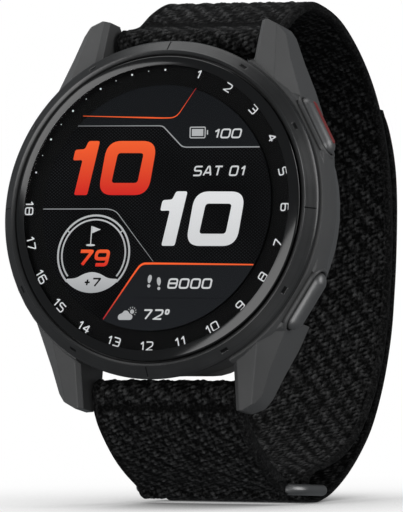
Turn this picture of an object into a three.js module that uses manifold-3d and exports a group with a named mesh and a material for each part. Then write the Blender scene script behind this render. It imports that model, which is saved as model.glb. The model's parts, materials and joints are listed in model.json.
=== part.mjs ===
// Golf GPS watch on a closed nylon strap, standing on the strap's lower edge.
//
// Units are millimetres. +X points to the watch's 3 o'clock, +Y to the back of the strap loop
// and +Z up. The origin is on the floor, under the middle of the outline box.
//
// The watch head is modelled in its own frame: x to 3 o'clock, y to 12 o'clock and z out of the
// display, with z = 0 on the top of the cover glass. It then leans back by CASE_LEAN. The strap is
// drawn in the upright plane through the middle of the watch, as (y, z) points that count from the
// centre of the glass.

import * as THREE from 'three';
import { mergeVertices } from 'three/addons/utils/BufferGeometryUtils.js';
import Module from 'manifold-3d';

const wasm = await Module();
wasm.setup();

// ---------------------------------------------------------------- driving dimensions

const CASE_LEAN = THREE.MathUtils.degToRad(9.45);
const GLASS_CENTRE = new THREE.Vector3(-0.104, -25.744, 37.045);

const ROUND = 64;                 // sides on the large visible rings
const ROUND_INNER = 36;           // sides on the large hidden rings
const ROUND_SMALL = 12;           // sides on pins, stems and screws

const GLASS_R = 19.05;
const GLASS_THICK = 0.7;
const DIAL_RING_INNER_R = 15.3;
const DIAL_RING_OUTER_R = 18.5;

const DISPLAY_TOP_Z = -0.78;      // underside of the glass adhesive
const DISPLAY_SHELF_Z = -1.25;
const DISPLAY_BASE_Z = -2.0;
const DISPLAY_SHELF_R = 17.6;

const BEZEL_SEAT_R = 18.65;
const BEZEL_INNER_R = 19.2;
const BEZEL_CREST_R = 19.68;
const BEZEL_CREST_Z = -0.3;
const BEZEL_SEAT_Z = -1.1;
const BEZEL_FACE_R = 20.85;
const BEZEL_OUTER_R = 21.1;
const BEZEL_BASE_Z = -1.9;

const CASE_TOP_Z = -2.2;
const CASE_BASE_Z = -10.3;
const CASE_R = 21.6;
const CASE_WAIST_R = 19.5;        // between the lugs, behind the strap
const CAVITY_R = 18.2;
const CAVITY_STEP_Z = -5.5;
const CAVITY_LOWER_R = 17.6;

const LUG_GAP = 20.6;             // clear width between a pair of lugs
const LUG_TIP_Y = 24.4;
const BAR_Y = 22.0;               // spring-bar axis from the middle of the watch
const BAR_Z = -8.4;
const LUG_ROOT_Y = 12.0;
const LUG_HOLE_R = 0.55;
const LUG_HOLE_DEEP = 1.6;

const BACK_TOP_Z = -10.6;
const BACK_Z = -11.5;
const BACK_R = 20.2;
const WINDOW_FACE_Z = -12.0;      // flat middle of the sensor window
const SCREW_RING_R = 19.0;
const SCREW_ANGLE = 45;
const SCREW_HOLE_R = 0.6;
const CONTACT_XS = [-3.9, -1.3, 1.3, 3.9];
const CONTACT_Y = -11;
const CONTACT_R = 0.8;

const BOARD_R = 17.2;
const BOARD_TOP_Z = -4.3;
const BOARD_BASE_Z = -5.1;
const BATTERY_R = 11.2;
const BATTERY_TOP_Z = -6.1;
const BATTERY_BASE_Z = -9.3;
const MOTOR_X = -14.3;
const MOTOR_R = 2.8;
const MOTOR_TOP_Z = -6.3;
const MOTOR_BASE_Z = -9.2;
const MOTOR_WALL = 0.25;
const MOTOR_SHAFT_R = 0.35;

const BUTTON_ANGLES = { upper: 30, lower: -30 };
const BUTTON_Z = -5.0;
const BUTTON_LONG = 7.9;
const BUTTON_TALL = 2.6;
const BUTTON_FACE = 22.9;         // outer face of the cap, from the middle of the watch
const BUTTON_BASE = 21.05;
const BUTTON_FLOOR = 20.3;        // floor of the pocket under the cap
const SHOULDER_FACE = 21.7;
const SHOULDER_HALF = 4.6;        // half the length of the flat at a button
const GUARD_R = 21.75;
const STEM_R = 0.8;
const STEM_END = 16.9;
const STEM_NECK_R = 0.55;         // bottom of the seal and clip grooves
const SEAL_GROOVE = [18.75, 19.15];
const CLIP_GROOVE = [17.05, 17.4];
const SPRING_X = 19.4;
const SPRING_COIL_R = 1.3;
const INLAY_LONG = 6.1;
const INLAY_TALL = 1.0;

const STRAP_WIDTH = 20;
const STRAP_THICK = 1.4;
const STRAP_SHORT_THICK = 2.0;
const STRAP_FOLD_THICK = 0.65;
const STRAP_LOOP_R = 2.0;
const STRAP_CHANNEL_R = 1.05;
const TAIL_THICK = 1.0;
const HOOK_THICK = 0.3;
const HOOK_WIDTH = 16;

const BAR_TUBE_R = 0.8;
const BAR_BORE_R = 0.55;
const BAR_TIP_R = 0.42;
const BAR_TUBE_END = 9.7;
const BAR_TIP_END = 11.4;
const STUD_X = 7.1;
const STUD_WIDE = 0.4;
const RELEASE_TRAVEL = 1.4;
const BAR_BORE_FROM = 3.0;

const RING_THICK = 1.4;
const RING_BAR = 1.5;
const RING_OUTER_X = 11.8;
const RING_FRONT_BAR = new THREE.Vector2(18.2, -35.1);
const RING_REAR_BAR = new THREE.Vector2(26.15, -35.45);
const RING_FRONT_CORNER_R = 3.4;
const RING_REAR_CORNER_R = 2.2;
const RING_LOOP_R = 1.55;         // the short strap's loop round the ring
const RING_CHANNEL_R = 0.95;

// ---------------------------------------------------------------- finishes

const FINISH = {
  bezel: { color: 0x4b4d50, roughness: 0.36, metalness: 0.9 },
  steel: { color: 0xa9abad, roughness: 0.28, metalness: 1.0 },
  polymer: { color: 0x5c5e61, roughness: 0.5, metalness: 0.1 },
  button: { color: 0x66686b, roughness: 0.36, metalness: 0.85 },
  accent: { color: 0xc2402a, roughness: 0.45, metalness: 0.2 },
  glass: { color: 0x101114, roughness: 0.05, metalness: 0.0 },
  black: { color: 0x0c0d0e, roughness: 0.6, metalness: 0.0 },
  display: { color: 0x15171a, roughness: 0.3, metalness: 0.0 },
  board: { color: 0x1f4a30, roughness: 0.55, metalness: 0.1 },
  copper: { color: 0xb4793e, roughness: 0.35, metalness: 0.9 },
  cell: { color: 0x8d9298, roughness: 0.4, metalness: 0.4 },
  nylon: { color: 0x1c1d1f, roughness: 0.9, metalness: 0.0 },
  rubber: { color: 0x141516, roughness: 0.8, metalness: 0.0 },
  gold: { color: 0xc8a04a, roughness: 0.3, metalness: 1.0 },
};

// ---------------------------------------------------------------- solids

/** A closed, outward-facing mesh with positions only. */
function closed(geometry) {
  const bare = geometry.clone();
  bare.deleteAttribute('normal');
  bare.deleteAttribute('uv');
  const merged = mergeVertices(bare, 1e-4);
  const position = merged.attributes.position;
  const corner = [0, 1, 2].map(() => new THREE.Vector3());
  const kept = [];
  let volume = 0;
  for (let i = 0; i < merged.index.count; i += 3) {
    const tri = [0, 1, 2].map((k) => merged.index.getX(i + k));
    if (new Set(tri).size < 3) continue;
    tri.forEach((v, k) => corner[k].fromBufferAttribute(position, v));
    volume += corner[0].dot(corner[1].clone().cross(corner[2]));
    kept.push(tri);
  }
  const facing = volume < 0 ? kept.map(([a, b, c]) => [a, c, b]) : kept;
  merged.setIndex(facing.flat());
  return merged;
}

function solid(geometry) {
  const shell = closed(geometry);
  return new wasm.Manifold(new wasm.Mesh({
    numProp: 3,
    vertProperties: new Float32Array(shell.attributes.position.array),
    triVerts: new Uint32Array(shell.index.array),
  }));
}

function geometryOf(manifold) {
  const mesh = manifold.getMesh();
  const geometry = new THREE.BufferGeometry();
  geometry.setAttribute('position', new THREE.BufferAttribute(mesh.vertProperties, 3));
  geometry.setIndex(new THREE.BufferAttribute(mesh.triVerts, 1));
  geometry.computeVertexNormals();
  return geometry;
}

/** Joins the first geometry with `joined`, then takes `removed` away from it. */
function shaped(geometry, { joined = [], removed = [] }) {
  let body = solid(geometry);
  for (const piece of joined) {
    body = body.add(solid(piece));
  }
  for (const piece of removed) {
    body = body.subtract(solid(piece));
  }
  return geometryOf(body);
}

/** Revolves [radius, z] points about the z axis. */
function turned(points, sides = ROUND) {
  const profile = points.map(([r, z]) => new THREE.Vector2(r, z));
  return new THREE.LatheGeometry(profile, sides).rotateX(Math.PI / 2);
}

/** A turned ring, whose profile closes on itself. */
function turnedRing(points, sides = ROUND) {
  return turned([...points, points[0]], sides);
}

function disc(radius, lowZ, highZ, sides = ROUND_INNER) {
  return new THREE.CylinderGeometry(radius, radius, highZ - lowZ, sides)
    .rotateX(Math.PI / 2)
    .translate(0, 0, (lowZ + highZ) / 2);
}

/** A round bar along x. */
function barX(radius, fromX, toX, sides = ROUND_SMALL) {
  return new THREE.CylinderGeometry(radius, radius, toX - fromX, sides)
    .rotateZ(Math.PI / 2)
    .translate((fromX + toX) / 2, 0, 0);
}

function block(x, y, z) {
  return new THREE.BoxGeometry(x[1] - x[0], y[1] - y[0], z[1] - z[0])
    .translate((x[0] + x[1]) / 2, (y[0] + y[1]) / 2, (z[0] + z[1]) / 2);
}

/** A rounded-end bar: `long` along y and `tall` along z, running from one x to another. */
function pillX(long, tall, fromX, toX, bevel = 0) {
  const shape = new THREE.Shape();
  const reach = (long - tall) / 2;
  const radius = tall / 2 - bevel;
  shape.absarc(reach, 0, radius, -Math.PI / 2, Math.PI / 2);
  shape.absarc(-reach, 0, radius, Math.PI / 2, 1.5 * Math.PI);
  const geometry = new THREE.ExtrudeGeometry(shape, {
    depth: toX - fromX - 2 * bevel,
    bevelEnabled: bevel > 0,
    bevelSize: bevel,
    bevelThickness: bevel,
    bevelSegments: 2,
    curveSegments: 8,
  });
  return uprightProfile(geometry).translate(fromX + bevel, 0, 0);
}

/** Turns a shape drawn in (y, z) and extruded along its own third axis so that it runs along +x. */
function uprightProfile(geometry) {
  const turn = new THREE.Matrix4().makeBasis(
    new THREE.Vector3(0, 1, 0),
    new THREE.Vector3(0, 0, 1),
    new THREE.Vector3(1, 0, 0),
  );
  return geometry.applyMatrix4(turn);
}

/** A band of even width along x that follows a smooth (y, z) line. */
function ribbon(line, thickness, width, { shift = 0, steps = 3 } = {}) {
  const curve = new THREE.SplineCurve(line.map(([y, z]) => new THREE.Vector2(y, z)));
  const count = (line.length - 1) * steps;
  const sides = [1, -1].map((side) => {
    const edge = [];
    for (let i = 0; i <= count; i += 1) {
      const tangent = curve.getTangent(i / count);
      const away = new THREE.Vector2(-tangent.y, tangent.x);
      edge.push(curve.getPoint(i / count).addScaledVector(away, shift + (side * thickness) / 2));
    }
    return edge;
  });
  const shape = new THREE.Shape([...sides[0], ...sides[1].reverse()]);
  const geometry = new THREE.ExtrudeGeometry(shape, { depth: width, bevelEnabled: false });
  return uprightProfile(geometry).translate(-width / 2, 0, 0);
}

/** A coil spring along +x, from 0 to `length`. */
function coilX(meanR, wireR, length, turns) {
  class Helix extends THREE.Curve {
    getPoint(t, target = new THREE.Vector3()) {
      const angle = 2 * Math.PI * turns * t;
      const x = wireR + (length - 2 * wireR) * t;
      return target.set(x, meanR * Math.cos(angle), meanR * Math.sin(angle));
    }
  }
  const section = new THREE.Shape();
  section.absarc(0, 0, wireR, 0, 2 * Math.PI);
  return new THREE.ExtrudeGeometry(section, {
    steps: turns * 8,
    extrudePath: new Helix(),
    curveSegments: 2,
    bevelEnabled: false,
  });
}

/** A large box whose one face lies at `point` and looks against `normal`. */
function cutter(point, normal, size = 30) {
  const turn = new THREE.Quaternion().setFromUnitVectors(
    new THREE.Vector3(0, 0, 1),
    new THREE.Vector3(...normal).normalize(),
  );
  return new THREE.BoxGeometry(size, size, size)
    .translate(0, 0, size / 2)
    .applyQuaternion(turn)
    .translate(...point);
}

function named(name, geometry, finish) {
  const mesh = new THREE.Mesh(closed(geometry), new THREE.MeshStandardMaterial(FINISH[finish]));
  mesh.name = name;
  return mesh;
}

// ---------------------------------------------------------------- front of the case

function bezel() {
  const ring = turnedRing([
    [BEZEL_SEAT_R, BEZEL_BASE_Z],
    [BEZEL_OUTER_R, BEZEL_BASE_Z],
    [BEZEL_OUTER_R, -1.6],
    [BEZEL_OUTER_R - 0.08, -1.45],
    [BEZEL_FACE_R, -1.28],
    [BEZEL_CREST_R + 0.12, BEZEL_CREST_Z - 0.05],
    [BEZEL_CREST_R, BEZEL_CREST_Z],
    [BEZEL_INNER_R, BEZEL_CREST_Z - 0.3],
    [BEZEL_INNER_R, BEZEL_SEAT_Z],
    [BEZEL_SEAT_R, BEZEL_SEAT_Z],
  ]);
  return named('bezel', ring, 'bezel');
}

function coverGlass() {
  const pane = turned([
    [0, -GLASS_THICK],
    [GLASS_R, -GLASS_THICK],
    [GLASS_R, -0.4],
    [GLASS_R - 0.15, -0.15],
    [GLASS_R - 0.5, 0],
    [0, 0],
  ]);
  return named('cover_glass', pane, 'glass');
}

/** Flat ring between two radii and two heights. */
function flatRing(name, innerR, outerR, lowZ, highZ, finish, sides = ROUND_INNER) {
  const ring = turnedRing([[innerR, lowZ], [outerR, lowZ], [outerR, highZ], [innerR, highZ]], sides);
  return named(name, ring, finish);
}

function displayPanel() {
  const litR = DIAL_RING_INNER_R - 0.1;
  const panel = turned([
    [0, DISPLAY_BASE_Z],
    [DISPLAY_SHELF_R, DISPLAY_BASE_Z],
    [DISPLAY_SHELF_R, DISPLAY_SHELF_Z],
    [litR, DISPLAY_SHELF_Z],
    [litR, DISPLAY_TOP_Z],
    [0, DISPLAY_TOP_Z],
  ], ROUND_INNER);
  return named('display_panel', panel, 'display');
}

// ---------------------------------------------------------------- mid-case

/** One lug, with sideX and sideY giving its corner of the watch. */
function lug(sideX, sideY) {
  const inner = LUG_GAP / 2;
  const outline = [
    [inner, LUG_ROOT_Y],
    [inner, LUG_TIP_Y - 0.1],
    [11.2, LUG_TIP_Y],
    [12.9, 23.5],
    [13.7, 22.5],
    [14.7, 19.4],
    [15.9, 16.4],
    [17.2, 13.2],
    [14.0, LUG_ROOT_Y],
  ];
  const shape = new THREE.Shape(outline.map(([x, y]) => new THREE.Vector2(sideX * x, sideY * y)));
  const blank = new THREE.ExtrudeGeometry(shape, { depth: -CASE_BASE_Z - 2, bevelEnabled: false })
    .translate(0, 0, CASE_BASE_Z);
  const at = (x, y, z) => [sideX * x, sideY * y, z];
  return geometryOf([
    cutter(at(0, 15.4, -2.05), at(0, 0.31, 0.95)),
    cutter(at(13.2, 20.0, -3.6), at(0.66, 0.33, 0.68)),
    cutter(at(inner + 0.55, 20.0, -3.6), at(-0.62, 0.24, 0.75)),
    cutter(at(0, LUG_TIP_Y, -8.2), at(0, 0.71, -0.71)),
    cutter(at(13.6, 21.5, -9.2), at(0.55, 0.4, -0.73)),
  ].reduce((body, tool) => body.subtract(solid(tool)), solid(blank)));
}

/** Places a geometry made for 3 o'clock at the given angle round the case. */
function roundCase(geometry, degrees) {
  return geometry.rotateZ(THREE.MathUtils.degToRad(degrees));
}

/** The thick side wall at 3 o'clock: flat at each button and round between and beyond them. */
function buttonGuard() {
  const corner = Math.hypot(SHOULDER_FACE, SHOULDER_HALF);
  const half = THREE.MathUtils.radToDeg(Math.atan2(SHOULDER_HALF, SHOULDER_FACE));
  const { upper, lower } = BUTTON_ANGLES;
  const rim = [
    [20.6, upper + half + 6],
    [corner - 0.4, upper + half + 1],
    [corner - 0.1, upper + half - 1],
    [corner - 0.1, upper - half + 1],
    [GUARD_R, upper - half - 3],
    [GUARD_R, 8],
    [GUARD_R, 0],
    [GUARD_R, -8],
    [GUARD_R, lower + half + 3],
    [corner - 0.1, lower + half - 1],
    [corner - 0.1, lower - half + 1],
    [corner - 0.4, lower - half - 1],
    [20.6, lower - half - 6],
    [18.5, lower - half - 6],
    [18.5, upper + half + 6],
  ];
  const shape = new THREE.Shape(rim.map(([r, degrees]) => {
    const angle = THREE.MathUtils.degToRad(degrees);
    return new THREE.Vector2(r * Math.cos(angle), r * Math.sin(angle));
  }));
  return new THREE.ExtrudeGeometry(shape, {
    depth: 1.8,
    bevelSize: 0.9,
    bevelThickness: 1.2,
    bevelSegments: 2,
    bevelOffset: -0.9,
  }).translate(0, 0, BUTTON_Z - 0.8);
}

function buttonCuts(degrees) {
  const pocket = pillX(BUTTON_LONG + 0.5, BUTTON_TALL + 0.5, BUTTON_FLOOR, 26);
  const springWell = barX(1.55, 19.3, 21);
  const stemBore = barX(STEM_R + 0.12, 15, 21);
  const cuts = [pocket, springWell, stemBore].map((cut) => cut.translate(0, 0, BUTTON_Z));
  const slot = block([21.15, 21.55], [-3.6, 3.6], [-3.6, -2]);
  return [...cuts, slot].map((cut) => roundCase(cut, degrees));
}

function screwPlaces() {
  return [0, 1, 2, 3].map((k) => {
    const angle = THREE.MathUtils.degToRad(SCREW_ANGLE + 90 * k);
    return new THREE.Vector2(Math.cos(angle), Math.sin(angle)).multiplyScalar(SCREW_RING_R);
  });
}

function midCase() {
  const shell = turnedRing([
    [CAVITY_LOWER_R, CASE_BASE_Z],
    [19.9, CASE_BASE_Z],
    [20.6, -9.6],
    [CASE_R - 0.55, -8.0],
    [CASE_R - 0.15, -6.0],
    [CASE_R, -4.6],
    [CASE_R - 0.05, -3.2],
    [CASE_R - 0.25, CASE_TOP_Z],
    [CAVITY_R, CASE_TOP_Z],
    [CAVITY_R, CAVITY_STEP_Z],
    [CAVITY_LOWER_R, CAVITY_STEP_Z],
  ]);
  const reach = LUG_GAP / 2;
  const strapGaps = [1, -1].map((side) => {
    const ys = [side * LUG_ROOT_Y, side * 30].sort((a, b) => a - b);
    return geometryOf(
      solid(block([-reach, reach], ys, [-12, CASE_TOP_Z + 1]))
        .subtract(solid(disc(CASE_WAIST_R, -13, 0, ROUND))),
    );
  });
  const lugs = [[1, 1], [-1, 1], [1, -1], [-1, -1]].map(([x, y]) => lug(x, y));
  const keptCavity = [
    disc(CAVITY_R, CAVITY_STEP_Z, 0, ROUND),
    disc(CAVITY_LOWER_R, -12, CAVITY_STEP_Z + 0.1, ROUND),
  ];
  const barHoles = [1, -1].map((side) => (
    barX(LUG_HOLE_R, -reach - LUG_HOLE_DEEP, reach + LUG_HOLE_DEEP).translate(0, side * BAR_Y, BAR_Z)
  ));
  const screwHoles = screwPlaces().map(({ x, y }) => (
    disc(SCREW_HOLE_R, CASE_BASE_Z - 1, -8.2, ROUND_SMALL).translate(x, y, 0)
  ));
  const sealGroove = turnedRing([[19.6, -2.9], [20.6, -2.9], [20.6, 0], [19.6, 0]]);
  const underBezel = disc(21.35, CASE_TOP_Z, 4, ROUND);
  const body = shaped(shell, {
    joined: [...lugs, buttonGuard()],
    removed: [
      ...strapGaps,
      ...keptCavity,
      ...barHoles,
      ...screwHoles,
      sealGroove,
      underBezel,
      ...Object.values(BUTTON_ANGLES).flatMap(buttonCuts),
    ],
  });
  return named('mid_case', body, 'polymer');
}

// ---------------------------------------------------------------- inside the case

function innerChassis() {
  const plate = shaped(disc(17.9, -3.0, -2.3), {
    removed: [
      block([-4, 4], [14.5, 20], [-4, -1]),
      disc(6, -4, -1, ROUND_SMALL),
    ],
  });
  return named('display_chassis', plate, 'steel');
}

function displayFlex() {
  const strip = ribbon([[13.6, -2.16], [15.9, -2.3], [16.2, -3.1], [15.9, -3.95], [13.6, -4.1]], 0.15, 6);
  return named('display_flex', strip, 'copper');
}

function gnssAntenna() {
  const shape = new THREE.Shape();
  const start = THREE.MathUtils.degToRad(110);
  const end = THREE.MathUtils.degToRad(320);
  shape.absarc(0, 0, 17.8, start, end, false);
  shape.absarc(0, 0, 16.9, end, start, true);
  const band = new THREE.ExtrudeGeometry(shape, { depth: 0.6, bevelEnabled: false, curveSegments: 20 });
  return named('gnss_antenna', band.translate(0, 0, -3.9), 'copper');
}

function mainBoard() {
  const notches = Object.values(BUTTON_ANGLES).map((degrees) => (
    roundCase(block([14.6, 20], [-2.6, 2.6], [-6, -4]), degrees)
  ));
  const chips = [
    block([-6, 1], [-4, 3], [-4.4, -3.5]),
    block([3.5, 8.5], [-7, -2], [-4.4, -3.6]),
    block([-4, 4], [6.5, 9], [-4.4, -3.7]),
  ];
  const board = shaped(disc(BOARD_R, BOARD_BASE_Z, BOARD_TOP_Z), { joined: chips, removed: notches });
  return named('main_board', board, 'board');
}

function batteryShield() {
  return named('battery_shield', disc(14.9, -5.75, -5.4), 'steel');
}

function battery() {
  const rim = 0.4;
  const cell = turned([
    [0, BATTERY_BASE_Z],
    [BATTERY_R - rim, BATTERY_BASE_Z],
    [BATTERY_R, BATTERY_BASE_Z + rim],
    [BATTERY_R, BATTERY_TOP_Z - rim],
    [BATTERY_R - rim, BATTERY_TOP_Z],
    [0, BATTERY_TOP_Z],
  ], ROUND_INNER);
  return named('battery', cell, 'cell');
}

/** Coin vibration motor: a can that is open underneath, with an off-centre weight inside. */
function vibrationMotor() {
  const place = new THREE.Group();
  place.position.set(MOTOR_X, 0, 0);
  const ceilingZ = MOTOR_TOP_Z - 0.3;
  const shaftEndZ = MOTOR_BASE_Z + 0.2;
  const can = turned([
    [0, MOTOR_TOP_Z],
    [MOTOR_R, MOTOR_TOP_Z],
    [MOTOR_R, MOTOR_BASE_Z],
    [MOTOR_R - MOTOR_WALL, MOTOR_BASE_Z],
    [MOTOR_R - MOTOR_WALL, ceilingZ],
    [MOTOR_SHAFT_R, ceilingZ],
    [MOTOR_SHAFT_R, shaftEndZ],
    [0, shaftEndZ],
  ], 24);
  const shape = new THREE.Shape();
  shape.absarc(0, 0, 2.3, 0, Math.PI, false);
  shape.lineTo(-0.8, 0);
  shape.absarc(0, 0, 0.8, Math.PI, 2 * Math.PI, false);
  const weight = shaped(
    new THREE.ExtrudeGeometry(shape, { depth: 1.7, bevelEnabled: false, curveSegments: 8 })
      .translate(0, 0, -8.7),
    { removed: [disc(MOTOR_SHAFT_R + 0.1, -9, -6, ROUND_SMALL)] },
  );
  place.add(named('motor_can', can, 'steel'));
  place.add(named('motor_weight', weight, 'copper'));
  return place;
}

// ---------------------------------------------------------------- back of the case

function backCover() {
  const chamfer = 0.35;
  const plate = turnedRing([
    [6.3, BACK_Z],
    [BACK_R - 1.4, BACK_Z],
    [BACK_R - chamfer, BACK_Z + chamfer],
    [BACK_R, BACK_TOP_Z],
    [17.3, BACK_TOP_Z],
    [17.3, BACK_TOP_Z + 0.7],
    [16.6, BACK_TOP_Z + 0.7],
    [16.6, BACK_TOP_Z],
    [6.3, BACK_TOP_Z],
  ], ROUND_INNER);
  const flats = [[19.3, 30], [-30, -19.3]].map((ys) => block([-10.3, 10.3], ys, [-12, -9]));
  const screwHoles = screwPlaces().flatMap(({ x, y }) => [
    disc(SCREW_HOLE_R, -12, -10, ROUND_SMALL).translate(x, y, 0),
    disc(1.1, -12, -11.0, ROUND_SMALL).translate(x, y, 0),
  ]);
  const contactHoles = CONTACT_XS.map((x) => (
    disc(CONTACT_R + 0.1, -12, -10, ROUND_SMALL).translate(x, CONTACT_Y, 0)
  ));
  const cover = shaped(plate, { removed: [...flats, ...screwHoles, ...contactHoles] });
  return named('back_cover', cover, 'polymer');
}

function chargeContacts() {
  const topZ = BACK_TOP_Z + 0.2;
  const faceZ = BACK_Z + 0.15;
  return CONTACT_XS.map((x, k) => {
    const pad = turned([[0, topZ], [CONTACT_R, topZ], [CONTACT_R, faceZ], [0, faceZ]], ROUND_SMALL);
    return named(`charge_contact_${k + 1}`, pad.translate(x, CONTACT_Y, 0), 'gold');
  });
}

function backScrews() {
  return screwPlaces().map(({ x, y }, k) => {
    const screw = shaped(turned([
      [0, -8.5],
      [0.48, -8.5],
      [0.48, -11.05],
      [1.0, -11.05],
      [1.0, -11.4],
      [0, -11.4],
    ], ROUND_SMALL), { removed: [disc(0.45, -12, -11.15, 6)] });
    return named(`back_screw_${k + 1}`, screw.translate(x, y, 0), 'steel');
  });
}

function sensorWindow() {
  const lens = turned([
    [0, -10.5],
    [6.15, -10.5],
    [6.15, -11.55],
    [5.2, -11.85],
    [4.0, WINDOW_FACE_Z],
    [0, WINDOW_FACE_Z],
  ], ROUND_INNER);
  return named('sensor_window', lens, 'glass');
}

function sensorModule() {
  const leds = [[-2, 0], [2, 0], [0, 2], [0, -2]].map(([x, y]) => (
    block([x - 0.6, x + 0.6], [y - 0.6, y + 0.6], [-10.35, -10.0])
  ));
  return named('sensor_module', shaped(disc(5.4, -10.1, -9.6), { joined: leds }), 'board');
}

// ---------------------------------------------------------------- buttons

function button(which) {
  const place = new THREE.Group();
  place.rotation.z = THREE.MathUtils.degToRad(BUTTON_ANGLES[which]);
  const level = new THREE.Group();
  level.position.z = BUTTON_Z;
  place.add(level);

  const cap = shaped(pillX(BUTTON_LONG, BUTTON_TALL, BUTTON_BASE, BUTTON_FACE, 0.35), {
    joined: [barX(STEM_R, STEM_END, BUTTON_BASE + 0.5)],
    removed: [
      stemGroove(SEAL_GROOVE),
      stemGroove(CLIP_GROOVE),
      turnedRingX([[1.0, BUTTON_BASE - 1], [1.0, 21.6], [1.6, 21.6], [1.6, BUTTON_BASE - 1]]),
      ...(which === 'upper' ? [pillX(INLAY_LONG + 0.2, INLAY_TALL + 0.2, BUTTON_FACE - 0.3, 24)] : []),
    ],
  });
  level.add(named(`${which}_button`, cap, 'button'));
  if (which === 'upper') {
    const inlay = pillX(INLAY_LONG, INLAY_TALL, BUTTON_FACE - 0.25, BUTTON_FACE + 0.05);
    level.add(named('upper_button_inlay', inlay, 'accent'));
  }

  const sealX = (SEAL_GROOVE[0] + SEAL_GROOVE[1]) / 2;
  const seal = new THREE.TorusGeometry(0.75, 0.14, 6, ROUND_SMALL).rotateY(Math.PI / 2).translate(sealX, 0, 0);
  level.add(named(`${which}_button_seal`, seal, 'rubber'));

  const clip = shaped(barX(1.35, 17.12, 17.33), {
    removed: [
      barX(0.6, 16, 18),
      block([16, 18], [-0.45, 0.45], [-2, 0]),
    ],
  });
  level.add(named(`${which}_button_clip`, clip, 'steel'));
  const spring = coilX(SPRING_COIL_R, 0.12, 0.95, 2).translate(SPRING_X, 0, 0);
  level.add(named(`${which}_button_spring`, spring, 'steel'));

  const keySwitch = shaped(block([15.2, 16.1], [-1.7, 1.7], [-0.8, 0.8]), {
    joined: [barX(0.5, 16, 16.35)],
  });
  level.add(named(`${which}_button_switch`, keySwitch, 'black'));
  return place;
}

/** The cut of a groove round the stem, between two distances from the middle of the watch. */
function stemGroove([from, to]) {
  const clear = STEM_R + 1;
  return turnedRingX([[STEM_NECK_R, from], [STEM_NECK_R, to], [clear, to], [clear, from]]);
}

/** A ring turned about the x axis from [radius, x] points. */
function turnedRingX(points) {
  return turnedRing(points, ROUND_SMALL).rotateY(Math.PI / 2);
}

// ---------------------------------------------------------------- strap

/** Where a spring bar's axis crosses the upright (y, z) plane. */
function barCentre(side) {
  const sin = Math.sin(CASE_LEAN);
  const cos = Math.cos(CASE_LEAN);
  return new THREE.Vector2(side * BAR_Y * sin - BAR_Z * cos, side * BAR_Y * cos + BAR_Z * sin);
}

const UPPER_BAR = barCentre(1);
const LOWER_BAR = barCentre(-1);
const UPPER_STUD_TURN = -0.9;     // which way each release stud points, about the bar
const LOWER_STUD_TURN = 0.35;

/** Centre line of the long strap, from the upper bar over the back and down to the ring. */
const LONG_LINE = [
  [13.0, 21.6], [16.9, 22.2], [21.4, 24.25], [26.3, 25.4], [31.2, 24.75], [36.25, 22.95], [41.85, 19.3],
  [46.45, 14.8], [49.85, 9.3], [51.8, 3.0], [52.2, -4.0], [51.5, -10.9], [49.9, -17.2], [46.8, -23.1],
  [42.2, -28.0], [36.9, -31.0], [31.5, -32.4], [27.6, -32.9], [25.3, -33.7], [24.55, -35.0],
];

/** Where it turns under the ring's rear bar and runs back up outside itself. */
const FOLD_LINE = [
  [24.6, -35.6], [24.75, -36.3], [25.4, -36.65], [26.6, -36.7], [28.6, -36.4], [32.3, -35.2], [37.2, -33.2],
  [42.0, -30.3], [45.9, -27.1], [49.6, -22.0], [52.1, -16.2], [53.2, -10.7], [53.85, -5.3],
];
const TAIL_LINE = [[53.95, -4.7], [53.95, 1.2], [53.2, 6.0], [51.5, 10.1], [49.6, 12.9]];

const SHORT_LINE = [
  [4.1, -24.6], [5.4, -26.6], [7.9, -29.0], [10.5, -31.0], [13.2, -32.6], [15.9, -33.9], [18.0, -34.95],
];

function channel(centre, radius) {
  return barX(radius, -STRAP_WIDTH, STRAP_WIDTH, 20).translate(0, centre.x, centre.y);
}

function loopRound(centre, radius) {
  return barX(radius, -STRAP_WIDTH / 2, STRAP_WIDTH / 2, 24).translate(0, centre.x, centre.y);
}

/** The notch in a strap loop that lets the release stud through. */
function studNotch(centre, turn) {
  return block([STUD_X - RELEASE_TRAVEL - 1, STUD_X + 1], [0, 4], [-0.9, 0.9])
    .rotateX(turn)
    .translate(0, centre.x, centre.y);
}

function longStrap() {
  const band = shaped(ribbon(LONG_LINE, STRAP_THICK, STRAP_WIDTH), {
    joined: [loopRound(UPPER_BAR, STRAP_LOOP_R)],
    removed: [
      channel(UPPER_BAR, STRAP_CHANNEL_R),
      studNotch(UPPER_BAR, UPPER_STUD_TURN),
    ],
  });
  return named('strap_long', band, 'nylon');
}

function strapFold() {
  return named('strap_fold', ribbon(FOLD_LINE, STRAP_FOLD_THICK, STRAP_WIDTH), 'nylon');
}

function strapTail() {
  return named('strap_tail', ribbon(TAIL_LINE, TAIL_THICK, STRAP_WIDTH, { shift: -0.15 }), 'nylon');
}

function hookPatch() {
  const line = TAIL_LINE.slice(1, 4);
  return named('tail_hook_patch', ribbon(line, HOOK_THICK, HOOK_WIDTH, { shift: 0.6 }), 'black');
}

function shortStrap() {
  const band = shaped(ribbon(SHORT_LINE, STRAP_SHORT_THICK, STRAP_WIDTH), {
    joined: [
      loopRound(LOWER_BAR, STRAP_LOOP_R),
      loopRound(RING_FRONT_BAR, RING_LOOP_R),
    ],
    removed: [
      channel(LOWER_BAR, STRAP_CHANNEL_R),
      studNotch(LOWER_BAR, LOWER_STUD_TURN),
      channel(RING_FRONT_BAR, RING_CHANNEL_R),
      ...[1, -1].map(cornerRoom),
    ],
  });
  return named('strap_short', band, 'nylon');
}

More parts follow.
